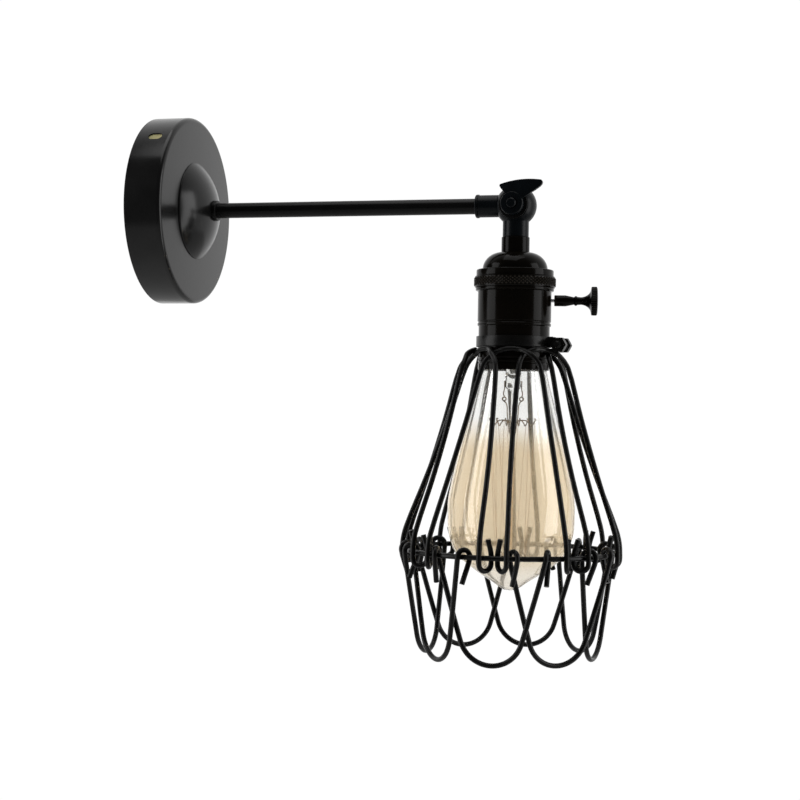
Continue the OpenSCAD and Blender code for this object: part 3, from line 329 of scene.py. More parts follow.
def slab(outline, height, low=0.0):             # a flat outline pulled up into a plate
    bm = chain([(x, y, low) for x, y in outline], closed=True)
    face = bmesh.ops.contextual_create(bm, geom=bm.edges)["faces"]
    up = bmesh.ops.extrude_face_region(bm, geom=face)["geom"]
    bmesh.ops.translate(bm, vec=(0, 0, height), verts=[v for v in up if isinstance(v, bmesh.types.BMVert)])
    bmesh.ops.recalc_face_normals(bm, faces=bm.faces)
    return bm


def rod(radius, low, high, sides=48):           # a plain cutter or blank along Z
    bm = bmesh.new()
    bmesh.ops.create_cone(bm, cap_ends=True, segments=sides, radius1=radius, radius2=radius, depth=high - low)
    bmesh.ops.translate(bm, vec=(0, 0, (low + high) / 2), verts=bm.verts)
    return bm


def brick(low, high):
    bm = bmesh.new()
    bmesh.ops.create_cube(bm, size=1)
    bmesh.ops.scale(bm, vec=[b - a for a, b in zip(low, high)], verts=bm.verts)
    bmesh.ops.translate(bm, vec=[(a + b) / 2 for a, b in zip(low, high)], verts=bm.verts)
    return bm


def combined(base, tool, how):                  # a Boolean modifier, used up at once
    pair = []
    for bm in (base, tool):
        mesh = bpy.data.meshes.new("bench")
        bmesh.ops.recalc_face_normals(bm, faces=bm.faces)
        bm.to_mesh(mesh)
        bm.free()
        pair.append(bpy.data.objects.new("bench", mesh))
        bpy.context.scene.collection.objects.link(pair[-1])
    cut = pair[0].modifiers.new("cut", "BOOLEAN")
    cut.operation, cut.solver, cut.object = how, "EXACT", pair[1]
    result = bmesh.new()
    result.from_object(pair[0], bpy.context.evaluated_depsgraph_get())
    for thing in pair:
        mesh = thing.data
        bpy.data.objects.remove(thing)
        bpy.data.meshes.remove(mesh)
    bmesh.ops.remove_doubles(result, verts=result.verts, dist=1e-4)
    return result


def joinedTo(bm, *others):                      # puts finished shells into one mesh
    for other in others:
        mesh = bpy.data.meshes.new("bench")
        other.to_mesh(mesh)
        other.free()
        bm.from_mesh(mesh)
        bpy.data.meshes.remove(mesh)
    return bm


def settle(obj, nodes):                         # body, slot, finish and the nodes it stands for
    bpy.context.scene.collection.objects.link(obj)
    obj.data.materials.append(finishes[slotOf[nodes[0]]])
    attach(obj, body_of(frame["nodes"][nodes[0]])[0])
    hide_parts(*nodes)
    covered.update(nodes)
    return obj


def finishPiece(name, bm, place, *nodes, sharp=32):
    bm.transform(Matrix.Scale(0.001, 4) @ place)
    bmesh.ops.remove_doubles(bm, verts=bm.verts, dist=2e-7)
    bmesh.ops.recalc_face_normals(bm, faces=bm.faces)
    mesh = bpy.data.meshes.new(name)
    bm.to_mesh(mesh)
    bm.free()
    mesh.shade_smooth()
    mesh.set_sharp_from_angle(angle=radians(sharp))
    return settle(bpy.data.objects.new(name, mesh), nodes)


def bentWire(name, routes, radius, place, nodes, sides, steps):     # round wire along each route
    curve = bpy.data.curves.new(name, "CURVE")
    curve.dimensions, curve.fill_mode, curve.twist_mode = "3D", "FULL", "MINIMUM"
    curve.bevel_depth, curve.bevel_resolution, curve.use_fill_caps = radius / 1000, sides, True
    curve.resolution_u = curve.render_resolution_u = steps
    for route in routes:
        spots = [Matrix.Scale(0.001, 4) @ place @ Vector(p) for p in route]
        line = curve.splines.new("BEZIER")
        line.bezier_points.add(len(spots) - 1)
        for knot, spot in zip(line.bezier_points, spots):
            knot.co, knot.handle_left_type, knot.handle_right_type = spot, "AUTO", "AUTO"
        line.use_smooth = True
    return settle(bpy.data.objects.new(name, curve), nodes)


# Wall side

canopy = {"radius": 49.1, "depth": 20, "wall": 1.2, "edge": 2.5, "bore": 4.1, "slotX": 10.5,
          "slotLong": 7.6, "slotWide": 5, "slotAngle": 45}


def makeCanopy(c):
    r, d, e = c["radius"], c["depth"], c["edge"]
    outer = [(r - 0.25, 0), (r, 0.25)] + bend(r - e, d - e, e, 0, 90, 10) + [(c["bore"], d)]
    inner = [(c["bore"], d - c["wall"])] + bend(r - e, d - e, e - c["wall"], 90, 0, 6) + [(r - c["wall"], 0)]
    bm = turned(outer + inner, 192, "X")
    half = (c["slotLong"] - c["slotWide"]) / 2
    for end in (0, pi):
        slot = slab(bend(c["slotX"] - half, 0, c["slotWide"] / 2, 90, 270, 12)
                    + bend(c["slotX"] + half, 0, c["slotWide"] / 2, -90, 90, 12), 6, r - 4)
        slot.transform(Matrix.Rotation(pi / 2, 4, "X"))          # the slot looks towards the viewer
        slot.transform(Matrix.Rotation(radians(-c["slotAngle"]) + end, 4, "X"))
        bm = combined(bm, slot, "DIFFERENCE")
    finishPiece("canopy", bm, atWall, "wall_canopy", sharp=28)


makeCanopy(canopy)

dome = {"radius": 25.9, "height": 10.5, "wall": 1, "seat": 5.6, "bore": 4.1}


def makeDome(d):
    outside = (d["radius"] ** 2 + d["height"] ** 2) / (2 * d["height"])     # the dome is a cap of this sphere
    centre = d["height"] - outside
    inside = outside - d["wall"]
    rim = bend(0, centre, outside, degrees(asin(-centre / outside)), degrees(acos(d["seat"] / outside)), 36)
    hollow = bend(0, centre, inside, degrees(acos(d["bore"] / inside)), degrees(asin(-centre / inside)), 20)
    foot = [(rim[0][0] - 0.45, 0), (rim[0][0] - 0.4, 0.3)]       # the rolled rim leaves a dark line
    profile = foot + rim[1:] + [(d["seat"], d["height"] - 0.4), (d["bore"], d["height"] - 0.4)] + hollow
    bm = turned(profile, 128, "X")
    finishPiece("canopy_boss", bm, Matrix.Translation((canopy["depth"], 0, 0)), "canopy_dome", sharp=40)


makeDome(dome)

ringNut = {"radius": 5.4, "low": 30.1, "high": 32.3, "bore": 4.05, "edge": 0.45, "ribs": 64}


def makeRingNut(n):
    r, e = n["radius"], n["edge"]
    bm = turned([(n["bore"], n["low"]), (r - 0.2, n["low"]), (r, n["low"] + 0.2), (r, n["high"] - e)]
                + bend(r - e, n["high"] - e, e, 15, 90, 5) + [(n["bore"], n["high"])], n["ribs"], "X")
    finishPiece("ring_nut", bm, atWall, "arm_ring_nut")


makeRingNut(ringNut)

arm = {"start": 11.8, "end": 180.6, "radius": 4, "bore": 3, "edge": 0.3}


def makeArm(a):
    r, e, start, end = a["radius"], a["edge"], a["start"], a["end"]
    profile = [(r - e, start), (r, start + e), (r, end - e), (r - e, end)]
    bm = turned([(a["bore"], start)] + profile + [(a["bore"], end)], 96, "X")
    finishPiece("arm", bm, atWall, "arm_tube")


makeArm(arm)
print("wall side done")


# Knuckle

ball = {"radius": 10.4, "gap": 0.1, "seat": 7.1, "seatRadius": 7.6, "bore": 2.55, "cavity": 6.4,
        "cavityDeep": 3.4, "sweep": 10.55}


def halfBall(b, side):            # side is 1 for the arm's half and -1 for the lamp's half
    r = b["radius"]
    first, last = degrees(asin((b["gap"] + 0.12) / r)), degrees(acos(b["seatRadius"] / r))
    profile = [(b["cavity"], b["gap"]), (r - 0.16, b["gap"])] + bend(0, 0, r, first, last, 26)
    profile += [(b["seatRadius"] - 0.15, b["seat"] + 0.05), (b["seatRadius"] - 0.3, b["seat"]),
                (b["bore"], b["seat"]), (b["bore"], b["cavityDeep"]), (b["cavity"], b["cavityDeep"])]
    return turned(profile, 112, "Y" if side > 0 else "-Y")


def sweptBall(b, side):           # the room the other half needs to turn, with a hair of clearance
    r, gap = b["sweep"], b["gap"]
    first = degrees(asin(gap / r))
    profile = [(0, -gap)] + bend(0, 0, r, -first, 90, 40)[:-1] + [(0, r)]
    return turned(profile, 112, "-Y" if side > 0 else "Y", closed=False)


collar = {"radius": 5.65, "bead": 6.0, "reach": 20.6, "bore": 4.05, "boreDeep": 8, "wires": 3, "end": 7.6}


def makeArmHalf(b, c):
    r, bead, reach, inner = c["radius"], c["bead"], c["reach"], c["boreDeep"] - c["reach"]
    profile = [(c["bore"] + 0.2, -reach), (r - 0.1, -reach)] + bend(bead - 0.5, 0.5 - reach, 0.5, -60, 0, 4)
    profile += [(bead, -reach + 1.1)] + bend(bead - 0.35, -reach + 1.3, 0.35, 0, 80, 4)
    profile += [(r, -reach + 1.75), (r, -c["end"]), (c["wires"], -c["end"]), (c["wires"], inner),
                (c["bore"], inner), (c["bore"], 0.2 - reach)]
    neck = turned(profile, 96, "X")
    neck = combined(neck, sweptBall(b, 1), "DIFFERENCE")
    bm = combined(halfBall(b, 1), neck, "UNION")
    finishPiece("knuckle_arm_side", bm, atLamp, "knuckle_arm_half", sharp=24)


makeArmHalf(ball, collar)

stub = {"radius": 6.6, "drop": 15.9, "bore": 5.05, "boreTop": 10.9, "wires": 3.6, "end": 7.6}


def makeLampHalf(b, s):
    r, drop, inner = s["radius"], s["drop"], -s["boreTop"]
    profile = [(s["bore"], -drop)] + bend(r - 0.35, 0.35 - drop, 0.35, -90, 0, 4)
    profile += [(r, -s["end"]), (s["wires"], -s["end"]), (s["wires"], inner), (s["bore"], inner)]
    neck = turned(profile, 96)
    neck = combined(neck, sweptBall(b, -1), "DIFFERENCE")
    bm = combined(halfBall(b, -1), neck, "UNION")
    finishPiece("knuckle_lamp_side", bm, atLamp, "knuckle_lamp_half", sharp=24)


makeLampHalf(ball, stub)

pivot = {"radius": 2.5, "headRadius": 5.2, "headHigh": 2.2, "tip": 13.7, "seat": 7.1, "slotWide": 1,
         "slotDeep": 1}


def threadedShank(radius, low, high, pitch, sides=28, deep=0.42):    # a helical thread, spun up step by step
    turns = int((high - low) / pitch)
    bm = chain([(radius - deep, 0, low), (radius - deep * 0.15, 0, low + pitch * 0.42),
                (radius - deep * 0.15, 0, low + pitch * 0.58), (radius - deep, 0, low + pitch)])
    bmesh.ops.spin(bm, geom=bm.verts[:] + bm.edges[:], cent=(0, 0, 0), axis=(0, 0, 1), angle=2 * pi * turns,
                   steps=sides * turns, dvec=(0, 0, pitch / sides), use_merge=False)
    bmesh.ops.remove_doubles(bm, verts=bm.verts, dist=1e-3)
    return bm


def makePivotBolt(p):
    y = p["seat"]
    head = turned([(0, y + p["headHigh"] - 0.1), (0, y), (p["headRadius"], y), (p["headRadius"], y + 0.8)]
                  + bend(p["headRadius"] - 1, y + 1.1, 1, 0, 80, 6), 64, "Y")
    bmesh.ops.holes_fill(head, edges=[e for e in head.edges if e.is_boundary])
    slot = brick((-8, y + p["headHigh"] - p["slotDeep"], -p["slotWide"] / 2), (8, y + 5, p["slotWide"] / 2))
    head = combined(head, slot, "DIFFERENCE")
    shank = turned([(0, -y - 0.4), (p["radius"], -y - 0.4), (p["radius"], p["tip"] - 0.5),
                    (p["radius"] - 0.5, p["tip"]), (0, p["tip"])], 40, "-Y", closed=False)
    finishPiece("pivot_screw", joinedTo(head, shank), atLamp, "pivot_bolt", sharp=28)


makePivotBolt(pivot)

washer = {"radius": 7.4, "bore": 2.55, "low": 7.2, "high": 8.3, "edge": 0.25}


def makeWasher(w):
    bm = eased(turned([(w["bore"], w["low"]), (w["radius"], w["low"]), (w["radius"], w["high"]),
                       (w["bore"], w["high"])], 96, "-Y"), w["edge"])
    finishPiece("pivot_disc", bm, atLamp, "pivot_washer")


makeWasher(washer)

thumb = {"boss": 5.75, "bossLong": 4.2, "bore": 2.55, "leafWide": 21.8, "leafThick": 2.3, "edge": 0.4,
         "low": 8.4}


def makeThumbNut(t):
    w, b = t["leafWide"], t["boss"]
    left = -0.285 * w
    right = left + w
    leaf = slab([(-b * 0.45, b * 0.7), (left + 0.75, b + 1.55), (left + 0.1, b + 2.6), (left, b + 3.1),
                 (left + 0.3, b + 3.7), (left + 1.3, b + 4.5), (left + w / 2, b + 7), (right - 0.6, b + 5.6),
                 (right - 0.08, b + 4.8), (right, b + 4.2), (right - 0.3, b + 3.3), (right - 1.2, b + 2.3),
                 (right - 3.6, b + 0.6), (right - 5.4, b - 0.5), (b * 0.9, b * 0.35)], t["leafThick"])
    crown = rod(w * 2, -1, 4, 480)
    bmesh.ops.translate(crown, vec=(w * 0.38, b + 6.1 - w * 2, 0), verts=crown.verts)
    leaf = eased(combined(leaf, crown, "INTERSECT"), t["edge"], 40)
    bmesh.ops.translate(leaf, vec=(0, 0, t["bossLong"] - t["leafThick"] - 0.2), verts=leaf.verts)
    e = 0.55
    boss = turned([(t["bore"], 0), (b - 0.2, 0), (b, 0.2)] + bend(b - e, t["bossLong"] - e, e, 0, 90, 5)
                  + [(t["bore"] + 0.3, t["bossLong"]), (t["bore"], t["bossLong"] - 0.3)], 96)
    hole = rod(t["bore"] + 0.4, -1, 6)
    bm = combined(boss, combined(leaf, hole, "DIFFERENCE"), "UNION")
    bm.transform(Matrix.Translation((0, -t["low"], 0)) @ Matrix.Rotation(pi / 2, 4, "X"))
    finishPiece("thumb_nut_leaf", bm, atLamp, "thumb_nut", sharp=28)


makeThumbNut(thumb)
print("knuckle done")


# Lamp holder

holder = {"neck": 7.1, "neckTop": -15.9, "cove": -23.7, "lip": -32.6, "knurl": -36, "shell": -41.6,
          "step": -60.8, "mouth": -83.2, "cap": 16.45, "lipRadius": 19.5, "body": 18.55,
          "mouthRadius": 17.95, "thread": 17.4, "bore": 5.05, "wall": 1}


def makeCap(h):
    n, c, z = h["neck"], h["cap"], h["lip"]
    high = h["cove"] - z
    cove = [(n + (c - n) * cos(radians(a)), z + high * sin(radians(a))) for a in range(90, -1, -5)]
    hollow = [(n + 2 + (c - h["wall"] - n - 2) * cos(radians(a)), z + (high - 2.2) * sin(radians(a)))
              for a in range(0, 91, 10)]
    lip = h["lipRadius"]
    profile = [(h["bore"], h["neckTop"])] + bend(n - 0.35, h["neckTop"] - 0.35, 0.35, 90, 0, 4) + cove
    profile += [(c + 0.4, z)] + bend(lip - 0.6, z - 0.6, 0.6, 90, 0, 5)
    profile += bend(lip - 0.3, h["knurl"] + 0.3, 0.3, 0, -90, 3)
    profile += [(h["thread"] + 0.1, h["knurl"]), (h["thread"] + 0.1, z - 0.8), (c - h["wall"], z - 0.8)]
    profile += hollow + [(h["bore"], h["cove"] - 2.2)]
    finishPiece("holder_cover", turned(profile, 144), atLamp, "holder_cap", sharp=30)


makeCap(holder)

knurl = {"radius": 20.75, "low": -41.6, "high": -36, "diamonds": 62, "rows": 6, "deep": 0.42, "edge": 0.5,
         "bore": 17.5}


def makeKnurl(k):
    r, rows, count = k["radius"], k["rows"], k["diamonds"] * 2
    band = [k["low"] + k["edge"] + (k["high"] - k["low"] - 2 * k["edge"]) * i / rows for i in range(rows + 1)]
    bm = turned([(k["bore"], k["low"]), (r - k["edge"] - 0.1, k["low"])] + [(r, z) for z in band]
                + [(r - k["edge"] - 0.1, k["high"]), (k["bore"], k["high"])], count)
    valleys = []
    for vert in bm.verts:
        if hypot(vert.co.x, vert.co.y) > r - 0.05:
            column = round((atan2(vert.co.y, vert.co.x) % (2 * pi)) / (2 * pi) * count)
            row = min(range(rows + 1), key=lambda i: abs(band[i] - vert.co.z))
            if (column + row) % 2 or row in (0, rows):
                valleys.append(vert)
    bmesh.ops.connect_verts(bm, verts=valleys)                   # each cell folds along its valleys
    for vert in valleys:
        vert.co.xy *= (r - k["deep"]) / r
    finishPiece("knurled_collar", bm, atLamp, "knurled_ring", sharp=12)


makeKnurl(knurl)

shell = {"lip": 19.75, "lipHigh": 1.7, "groove": 0.35, "stepGroove": 1.6, "mouthGrooves": (5.6, 3.6),
         "keyHole": 1.2, "keyZ": -47.8, "keyAngle": 10}


def alongKey(s):               # the key's shaft points away from the wall, turned a little to one side
    return Matrix.Translation((0, 0, s["keyZ"])) @ Matrix.Rotation(radians(s["keyAngle"]), 4, "Z") @ layAlongX


def makeShell(h, s):
    def grooved(r, z):
        g = s["groove"]
        return [(r, z + 0.62), (r - g * 0.4, z + 0.42), (r - g, z + 0.2), (r - g, z - 0.2),
                (r - g * 0.4, z - 0.42), (r, z - 0.62)]

    body, mouth, wall, thread, lip = h["body"], h["mouthRadius"], h["wall"], h["thread"], s["lip"]
    top, step, low, start = h["shell"], h["step"], h["mouth"], h["knurl"] + 2
    outer = [(thread, start), (thread, top)] + bend(lip - 0.35, top - 0.35, 0.35, 90, 0, 4)
    outer += bend(lip - 0.5, top - s["lipHigh"] + 0.5, 0.5, 0, -80, 4) + [(body, top - s["lipHigh"] - 0.3)]
    outer += grooved(body, step + s["stepGroove"]) + bend(body - 0.4, step + 0.2, 0.4, 0, -70, 4)
    outer += [(mouth, step - 0.45)]
    for height in s["mouthGrooves"]:
        outer += grooved(mouth, low + height)
    outer += bend(mouth - 0.4, low + 0.4, 0.4, 0, -90, 4)
    inner = [(mouth - wall, low + 0.1), (mouth - wall, step - 0.4), (body - wall - 0.6, step + 0.4),
             (body - wall - 0.6, top - 1.5), (thread - wall, top - 1.2), (thread - wall, start)]
    bm = turned(outer + inner, 144)
    hole = rod(s["keyHole"], 10, 22, 32)
    hole.transform(alongKey(s))
    finishPiece("holder_barrel", combined(bm, hole, "DIFFERENCE"), atLamp, "holder_shell", sharp=26)


makeShell(holder, shell)

key = {"start": 19.95, "end": 41.95, "disc": 7.25, "discThick": 3.6, "waist": 1.9, "barrel": 2.8,
       "ribs": 44, "ribDeep": 0.28, "bore": 0.87, "boreDeep": 3.6}


def makeKey(k, s):
    r, waist, barrel, start, end = k["disc"], k["waist"], k["barrel"], k["start"], k["end"]
    flare = end - k["discThick"]
    bead = flare - 7.6
    profile = [(k["bore"], start)] + bend(barrel - 0.35, start + 0.35, 0.35, -90, 0, 4)
    profile += [(barrel, start + 5.6), (waist, bead - 0.9)] + bend(waist - 0.3, bead, 0.9, -60, 60, 6)
    profile += [(waist + (r - 0.9 - waist) * (1 - sqrt(1 - t * t)), flare - 5.4 * (1 - t))
                for t in [i / 14 for i in range(1, 15)]]
    profile += [(r - 0.35, flare + 0.1), (r, flare + 0.5), (r, end - 0.95), (r - 0.3, end - 0.6)]
    profile += bend(r - 0.95, end - 0.75, 0.4, 60, 90, 3)
    profile += [((r - 1.2) * t, end - 0.35 * t * t) for t in (0.85, 0.6, 0.35, 0.1, 0)]
    profile += [(0, start + k["boreDeep"]), (k["bore"], start + k["boreDeep"])]
    bm = turned(profile, k["ribs"] * 4)
    for vert in bm.verts:                                        # fine ribs round the rim, for the fingertips
        if hypot(vert.co.x, vert.co.y) > r - 0.05:
            phase = atan2(vert.co.y, vert.co.x) * k["ribs"]
            vert.co.xy *= 1 - k["ribDeep"] / r * (0.5 - 0.5 * cos(phase))
    bm.transform(alongKey(s))
    finishPiece("turn_key", bm, atLamp, "switch_key", sharp=30)


makeKey(key, shell)
print("holder done")


# Bulb

bulb = {"radius": 32, "cap": 13.1, "neckZ": -76.4, "tip": -194.2, "wall": 0.7}


def between(a, b, c, d, t):                    # a smooth curve from b to c, steered by a and d
    return tuple(0.5 * (2 * q + (r - p) * t + (2 * p - 5 * q + 4 * r - s) * t * t
                        + (3 * q - p - 3 * r + s) * t ** 3) for p, q, r, s in zip(a, b, c, d))


def smoothed(points, count):
    ends = [points[0]] + list(points) + [points[-1]]
    run = [between(*ends[i:i + 4], j / count) for i in range(len(points) - 1) for j in range(count)]
    return run + [tuple(points[-1])]


def glassProfile(b, wall):
    r, top, tip = b["radius"], b["neckZ"], b["tip"]
    return [(b["cap"] - 1.1 - wall, top), (b["cap"] - 1 - wall, top - 2.4), (r * 0.5 - wall, top - 5),
            (r * 0.57 - wall, top - 13), (r * 0.7 - wall, top - 30), (r * 0.875 - wall, top - 53),
            (r * 0.985 - wall, top - 70), (r - wall, top - 80), (r * 0.975 - wall, tip + 28),
            (r * 0.85 - wall, tip + 18), (r * 0.55 - wall, tip + 10),
            (r * 0.29 - wall * 0.9, tip + 4.6 + wall * 0.3), (r * 0.12 - wall * 0.5, tip + 0.9 + wall * 0.9),
            (0, tip + wall)]


def makeGlass(b):
    outer, inner = smoothed(glassProfile(b, 0), 8), smoothed(glassProfile(b, b["wall"]), 8)
    outer[-1], inner[-1] = (0, outer[-1][1]), (0, inner[-1][1])
    bm = turned(outer + inner[::-1], 160)
    finishPiece("blown_bulb", bm, atLamp, "bulb_glass", sharp=60)


makeGlass(bulb)

stem = {"flare": 10.5, "top": -77.4, "neck": 3.7, "press": -92.6, "pressTop": -86.5, "rod": 1,
        "low": -177.7, "pressWide": 4.2, "pressThick": 1.5, "turn": 30}


def makeStem(s):
    top, neck, press, low = s["top"], s["neck"], s["press"], s["low"]
    profile = [(s["flare"] - 1, top), (s["flare"], top), (neck + 2.2, top - 2.6), (neck, top - 5)]
    profile += [(neck, s["pressTop"]), (neck, press + 1), (neck - 0.8, press), (1.7, press - 0.7)]
    profile += [(1.1, press - 1.6), (s["rod"], press - 4), (s["rod"], low + 0.6), (0.6, low + 0.1)]
    profile += [(0, low), (0, top - 8), (2.5, top - 7.4), (2.8, top - 5), (neck + 1, top - 2.6)]
    bm = turned(profile, 64)
    for vert in bm.verts:                                        # the press is pinched round the leads
        if press - 1.8 < vert.co.z < s["pressTop"] + 1.5 and hypot(vert.co.x, vert.co.y) > 2:
            vert.co.x *= s["pressWide"] / neck
            vert.co.y = max(-s["pressThick"], min(s["pressThick"], vert.co.y))
    bm.transform(Matrix.Rotation(radians(s["turn"]), 4, "Z"))
    finishPiece("glass_stem", bm, atLamp, "bulb_stem", sharp=50)


makeStem(stem)

spiders = {"topZ": -108.7, "lowZ": -176.2, "topR": 12, "lowR": 8.3, "arms": 6, "wire": 0.3, "pressZ": -92.6,
           "lead": 4.55, "eyeZ": -97.7, "leadEnd": -115.1, "leadIn": 1.65}


def hookedArm(radius, z, angle, curl, way):    # out from the rod in a low arch, then a dip and a curled tip
    bends = ((0.25, -0.2), (0.45, 0.3), (0.62, 0), (0.76, -1.4), (0.84, -2.5), (0.92, -1.7), (1, 0))
    run = [(1.3, -1.2)] + [(radius * share, up) for share, up in bends]
    run += [(radius + curl * sin(t), curl * (1 - cos(t))) for t in (0.8, 1.6, 2.4, 3.2, 4.0)]
    return [(u * cos(angle), u * sin(angle), z + way * v) for u, v in run]


def makeSpiders(s):
    step = 2 * pi / s["arms"]
    routes = [hookedArm(s["topR"] - 0.6, s["topZ"], i * step, 0.6, 1) for i in range(s["arms"])]
    routes += [hookedArm(s["lowR"] - 0.6, s["lowZ"], (i + 0.5) * step, 0.5, -0.5) for i in range(s["arms"])]
    out, pressZ, eyeZ, topZ = s["lead"], s["pressZ"], s["eyeZ"], s["topZ"]
    eye = [(out + 0.95 * sin(t), 0.11 * (t - 3.6), eyeZ + 0.95 * cos(t))
           for t in (0.2, 0.9, 1.7, 2.5, 3.3, 4.1, 4.9, 5.7, 6.5, 7.2, 8.0, 8.8)]
    lead = [(out, 0, pressZ + 4), (out, 0, pressZ), (out + 0.5, 0, eyeZ + 2.4)] + eye
    lead += [(out * 0.8, 0.2, eyeZ - 2), (out * 0.62, 0, topZ + 3), (2.4, 0, topZ)]
    lead.append((s["leadIn"], 0, s["leadEnd"]))
    for side in (-1, 1):                       # the leads leave the press between two arms
        turn = Matrix.Rotation(step / 2, 4, "Z") @ Matrix.Scale(side, 4, (1, 0, 0))
        routes.append([tuple(turn @ Vector(p)) for p in lead])
    bentWire("support_wires", routes, s["wire"], atLamp, ["bulb_supports"], sides=2, steps=5)


makeSpiders(spiders)

filament = {"strand": 0.1, "turn": 0.6}


def makeFilament(f, s):
    hooks = []
    for i in range(2 * s["arms"] - 1):
        angle, top = i * pi / s["arms"], i % 2 == 0
        r, z = (s["topR"] - 0.6, s["topZ"] + 0.1) if top else (s["lowR"] - 0.6, s["lowZ"] - 1.1)
        for across, up in ((-f["turn"], 0), (0, f["turn"]), (f["turn"], 0)):
            hooks.append((r * cos(angle) - across * sin(angle), r * sin(angle) + across * cos(angle),
                          z + (up if top else -up)))
    bentWire("filament_strand", [hooks], f["strand"], atLamp, ["bulb_filament"], sides=2, steps=6)


makeFilament(filament, spiders)
print("bulb done")


# Clamp

clamp = {"inner": 18.05, "outer": 19.05, "z": -71.6, "high": 5.3, "gap": 3, "ear": 1.2, "earAngle": -7,
         "bolt": 25.05, "boltZ": -70.45, "boltRadius": 1.8, "flats": 7, "edge": 0.18}


def makeBand(c):
    opening = 2 * asin(c["gap"] / 2 / c["inner"])
    flat = c["bolt"] - c["inner"] - 0.2
    rise = c["boltZ"] - c["z"]
    band = turned([(c["inner"], 0), (c["outer"], 0), (c["outer"], c["high"]), (c["inner"], c["high"])], 132,
                  sweep=2 * pi - opening)
    bmesh.ops.rotate(band, matrix=Matrix.Rotation(opening / 2, 3, "Z"), verts=band.verts)
    bmesh.ops.holes_fill(band, edges=[e for e in band.edges if e.is_boundary])
    band = eased(band, c["edge"], 50, 2)
    for side in (-1, 1):
        outline = [(0, 0), (2.8, 0), (flat - 1.2, rise - 2.9)] + bend(flat, rise, 2.9, -100, 100, 16)
        outline += [(flat - 1.2, rise + 2.9), (2.8, c["high"]), (0, c["high"])]
        ear = eased(slab(outline, c["ear"]), c["edge"], 50, 2)
        hole = rod(c["boltRadius"] + 0.1, -2, 4, 32)
        bmesh.ops.translate(hole, vec=(flat, rise, 0), verts=hole.verts)
        ear = combined(ear, hole, "DIFFERENCE")
        beside = side * (c["gap"] + c["ear"]) / 2 + c["ear"] / 2
        ear.transform(Matrix.Translation((c["inner"] + 0.2, beside, 0)) @ Matrix.Rotation(pi / 2, 4, "X"))
        band = combined(band, ear, "UNION")
    place = atLamp @ Matrix.Translation((0, 0, c["z"])) @ Matrix.Rotation(radians(c["earAngle"]), 4, "Z")
    finishPiece("cage_clamp", band, place, "clamp_band", sharp=28)


makeBand(clamp)


def atBolt(c):
    return (atLamp @ Matrix.Translation((0, 0, c["boltZ"])) @ Matrix.Rotation(radians(c["earAngle"]), 4, "Z")
            @ Matrix.Translation((c["bolt"], 0, 0)) @ Matrix.Rotation(pi / 2, 4, "X"))


def hexBlock(flats, low, high, bore=0.0):      # a hexagon with its corners turned off, as real nuts have
    r = flats / sqrt(3)
    bm = rod(r, low, high, 6)
    bmesh.ops.rotate(bm, matrix=Matrix.Rotation(radians(30), 3, "Z"), verts=bm.verts)
    out = r + 0.05
    cone = turned([(0, low), (flats / 2, low), (out, low + 0.35), (out, high - 0.35), (flats / 2, high),
                   (0, high)], 72, closed=False)
    bm = combined(bm, cone, "INTERSECT")
    return combined(bm, rod(bore, low - 1, high + 1, 40), "DIFFERENCE") if bore else bm


def makeClampBolt(c):
    face, r = c["gap"] / 2 + c["ear"], c["boltRadius"]
    end, core = face + 6, r - 0.35
    head = hexBlock(c["flats"], -face - 2.8, -face)
    shank = turned([(0, -face - 1), (core, -face - 1), (core, end), (r - 0.7, face + 6.2), (0, face + 6.2)],
                   32, closed=False)
    thread = threadedShank(r, -face, end, 0.7)
    finishPiece("clamp_screw", joinedTo(head, shank, thread), atBolt(c), "clamp_bolt", sharp=26)
    nut = hexBlock(c["flats"], face, face + 3.2, r + 0.05)
    finishPiece("clamp_hex", nut, atBolt(c), "clamp_nut", sharp=26)


makeClampBolt(clamp)
print("clamp done")


# Wire cage

cage = {"wire": 1.3, "ring": 52, "ringZ": -174.2, "count": 8, "archTurn": 3, "archTwist": 6,
        "archFoot": 40.5, "archZ": -72.95, "archTop": 19.55, "archShoulder": 22.25, "archHalf": 14.9,
        "archHigh": 13, "archSpan": 75, "archWeave": 2.6, "archBow": 1.2, "loopDrop": 2.6, "tail": 9,
        "hookAngle": 31.5, "petalDrop": 52.3, "petalEnd": 16, "petalLean": 2, "petalWeave": 1.5,
        "petalTail": 13, "hinge": 0.35, "fit": 0.1}


def facing(angle):                             # from the piece's own frame, u out and v to its right
    return atLamp @ Matrix.Rotation(radians(angle - 90), 4, "Z")


def twisted(c, p):
    t = radians(c["archTwist"])
    return (p[0] * cos(t) - p[1] * sin(t), p[0] * sin(t) + p[1] * cos(t), p[2])


def archTop(c, side, t):                       # t grows from the highest point towards the shoulder
    weave = radians(max(0, min(180, 6 * (t - 8))))
    share = (1 - cos(radians(t))) / (1 - cos(radians(c["archSpan"])))
    out = c["archTop"] + (c["archShoulder"] - c["archTop"]) * share
    out += side * c["archWeave"] * (1 - cos(weave)) / 2
    return twisted(c, (out, side * c["archHalf"] * sin(radians(t)),
                       c["archZ"] - c["archHigh"] * (1 - cos(radians(t)))))


